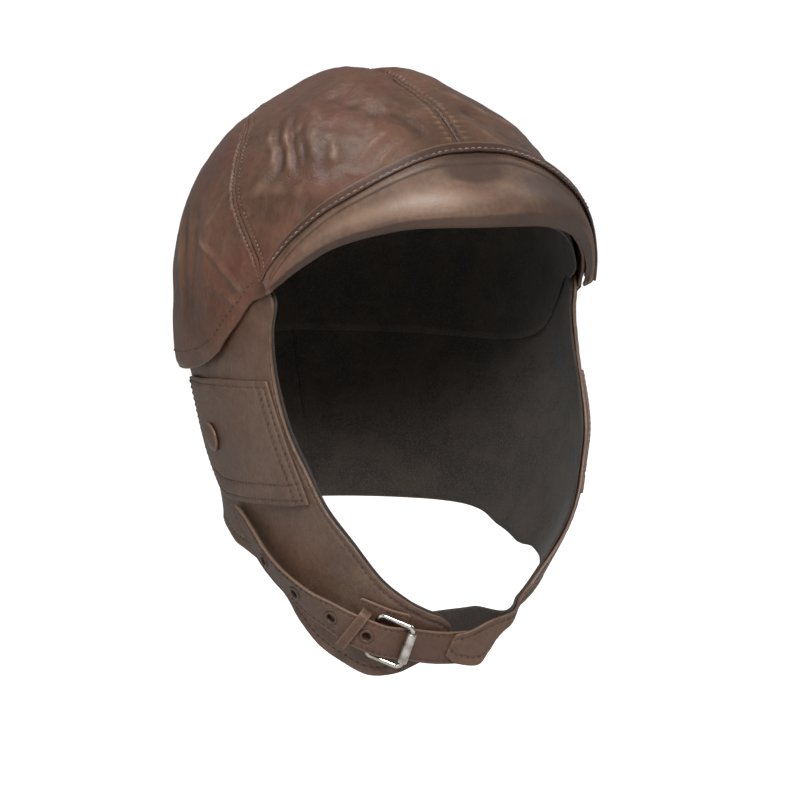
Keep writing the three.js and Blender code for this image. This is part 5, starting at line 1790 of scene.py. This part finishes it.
def makeTab(s, strap):
    steps = s["tabSteps"]
    place = strapPlace(np.array([strapRowAt(turn) for turn in np.linspace(*s["tabTurns"], steps)]))
    half, wall = s["tabWidth"] / 2, s["tabWall"] / 2
    lift = (place["relief"] + s["tabClear"] + wall)[:, None]
    origin = place["point"] + place["normal"] * lift + place["across"] * s["tabRaise"]
    across = np.linspace(-half + 0.3, half - 0.3, 25)
    dip = 0.2 * bump(np.abs(across), (half - s["tabEdgeAt"]), 0.45)
    outline = np.concatenate([
        np.stack([across, wall - dip], -1),
        [(half, wall * 0.4), (half, -wall * 0.4)],
        np.stack([across[::-1], np.full(len(across), -wall)], -1),
        [(-half, -wall * 0.4), (-half, wall * 0.4)],
    ])
    ends = np.minimum(np.arange(steps), np.arange(steps)[::-1])
    narrow = 1 - 0.06 * bump(ends, 0, 2.5)
    stations = origin[:, None] + place["across"][:, None] * (outline[None, :, :1] * narrow[:, None, None])
    stations = stations + place["normal"][:, None] * outline[None, :, 1:2]
    stations += place["normal"][:, None] * (0.25 * noise(stations, 8.0, 61))[..., None]
    wearAndPaintedLight = np.where(np.abs(outline[:, 0]) > half - 0.4, 0.6, 0.0)
    loftPiece("buckleTab", stations, strapLeather, ["buckle_tab"], wearAndPaintedLight)
    rows = []
    for sign in (-1, 1):
        path = origin + place["across"] * (sign * (half - s["tabEdgeAt"])) + place["normal"] * (wall - 0.05)
        rows.append(stitchRow(path, place["normal"], **strap["sewing"]))
    threadPiece("buckleTab.thread", rows, brownThread)


# The roller lies over the strap and the frame's other end under it
def makeBuckle(s, strap):
    strapWall = strap["wall"] / 2
    wire, radius = s["wireRadius"], s["rollerRadius"]
    rollerRow = strapRowAt(s["rollerTurn"])
    roller = strapSpot(rollerRow)
    rollerAxis = roller["origin"] + roller["up"] * (strapWall + strap["slack"] + radius)
    heelRow = rollerRow
    while np.linalg.norm(strapSpot(heelRow)["origin"] - roller["origin"]) < s["length"]:
        heelRow -= 0.05
    heel = strapSpot(heelRow)
    heelAxis = heel["origin"] - heel["up"] * (strapWall + strap["slack"] + wire)
    halfLength = np.linalg.norm(rollerAxis - heelAxis) / 2
    way = unit(rollerAxis - heelAxis)
    side = unit(roller["wide"] - way * np.dot(roller["wide"], way))
    halfWidth = strap["width"] / 2 + s["play"] + wire
    angles = np.arange(20) / 20 * 2 * math.pi
    circle = [(wire * math.cos(a), wire * math.sin(a)) for a in angles]
    centre = (rollerAxis + heelAxis) / 2
    stations = ringStations(centre, way, side, halfLength, halfWidth, s["corner"], circle, 12)
    loftPiece("buckle.frame", stations, polishedSteel, ["buckle_frame"], closed=True)
    half, bore = halfWidth - s["corner"], wire + 0.15
    rounded = [(bore, half), (radius - 0.35, half), (radius - 0.1, half - 0.12), (radius, half - 0.4)]
    profile = [(r, -h) for r, h in rounded] + rounded[::-1] + [(bore, -half)]
    points, faces = latheMesh(profile, rollerAxis, side, way, 48)
    meshPiece("buckle.roller", points, faces, satinSteel, ["buckle_roller"])


def makeKeeper(s, strap):
    keeper = strapSpot(strapRowAt(s["keeperTurn"]))
    w, h = s["keeperWall"] / 2, s["keeperWidth"] / 2
    face = [(w - 0.1, -h), (w, -h + 0.25), (w + 0.12, -h * 0.4)]
    outline = face + [(x, -y) for x, y in face[::-1]] + [(-w, h), (-w, -h)]
    reach, skew = s["keeperSlack"] + w, math.radians(s["keeperSkew"])
    across = keeper["wide"] * math.cos(skew) + keeper["way"] * math.sin(skew)
    halfAcross = strap["width"] / 2 / math.cos(skew) + h * math.tan(skew) + reach
    halfUp = strap["wall"] / 2 + reach
    stations = ringStations(keeper["origin"], across, keeper["up"], halfAcross, halfUp, reach, outline, 8)
    # The outer edges are rubbed lighter; the inner face, against the strap, is painted with shade
    wearAndPaintedLight = np.array([0.6, 0.5, 0.1, 0.1, 0.5, 0.6, -0.5, -0.5])
    loftPiece("strapKeeper", stations, strapLeather, ["strap_keeper"], wearAndPaintedLight, closed=True)


makeStrap(strapSettings)
makeTab(buckleSettings, strapSettings)
makeBuckle(buckleSettings, strapSettings)
makeKeeper(buckleSettings, strapSettings)
print("strap and buckle made")

# Studio: pale floor, white surroundings, four soft lamps. Lamps' places are in metres.
studioSettings = {
    "floorDrop": 420.0,
    "floorRadius": 9000.0,
    "floorGrey": 0.62,
    "floorWhite": 0.9,
    "surround": 0.26,  # light from all around; the backdrop itself is seen white
    "backdrop": 1.05,
    "lamps": {
        "key": {"at": (-0.5, -1.5, 0.95), "size": 0.7, "power": 38.0},
        "fill": {"at": (-1.7, -0.6, 0.2), "size": 1.2, "power": 5.0},
        "right": {"at": (1.5, -0.3, 0.9), "size": 0.7, "power": 6.0},
        "top": {"at": (-0.5, 0.3, 1.5), "size": 0.8, "power": 8.0},
    },
    "lookAt": (0.0, -0.02, -0.1),
}


def makeFloor(s):
    up, across = np.array([0.0, 0.0, 1.0]), np.array([1.0, 0.0, 0.0])
    points, faces = latheMesh([(0.001, 0), (s["floorRadius"], 0)], -s["floorDrop"] * up, up, across, 64)
    mesh = newMesh("floor", points, faces, recalc=False)
    floor = placed("floor", mesh)
    material, tree, shader = newMaterial("paleFloor")
    grey = s["floorGrey"]
    shader.inputs["Base Color"].default_value = (grey, grey, grey, 1)
    shader.inputs["Roughness"].default_value = 0.9
    shader.inputs["Emission Color"].default_value = (1, 1, 1, 1)
    seen = node(tree, "ShaderNodeLightPath").outputs["Is Camera Ray"]
    link(tree, scaled(tree, seen, s["floorWhite"]), shader.inputs["Emission Strength"])
    mesh.materials.append(material)


def makeStudio(s):
    makeFloor(s)
    world = bpy.data.worlds.new("surround")
    world.use_nodes = True
    tree = world.node_tree
    background = tree.nodes["Background"]
    background.inputs["Color"].default_value = (1, 1, 1, 1)
    seen = node(tree, "ShaderNodeLightPath").outputs["Is Camera Ray"]
    strength = added(tree, scaled(tree, seen, s["backdrop"] - s["surround"]), s["surround"])
    link(tree, strength, background.inputs["Strength"])
    bpy.context.scene.world = world
    for name, lamp in s["lamps"].items():
        data = bpy.data.lights.new(name, "AREA")
        data.shape = "DISK"
        data.size = lamp["size"]
        data.energy = lamp["power"]
        light = placed(name, data)
        light.location = lamp["at"]
        aim = Vector(lamp["at"]) - Vector(s["lookAt"])
        light.rotation_euler = aim.to_track_quat("Z", "Y").to_euler()
    bpy.context.scene.view_settings.view_transform = "Standard"


makeStudio(studioSettings)
print("studio made")
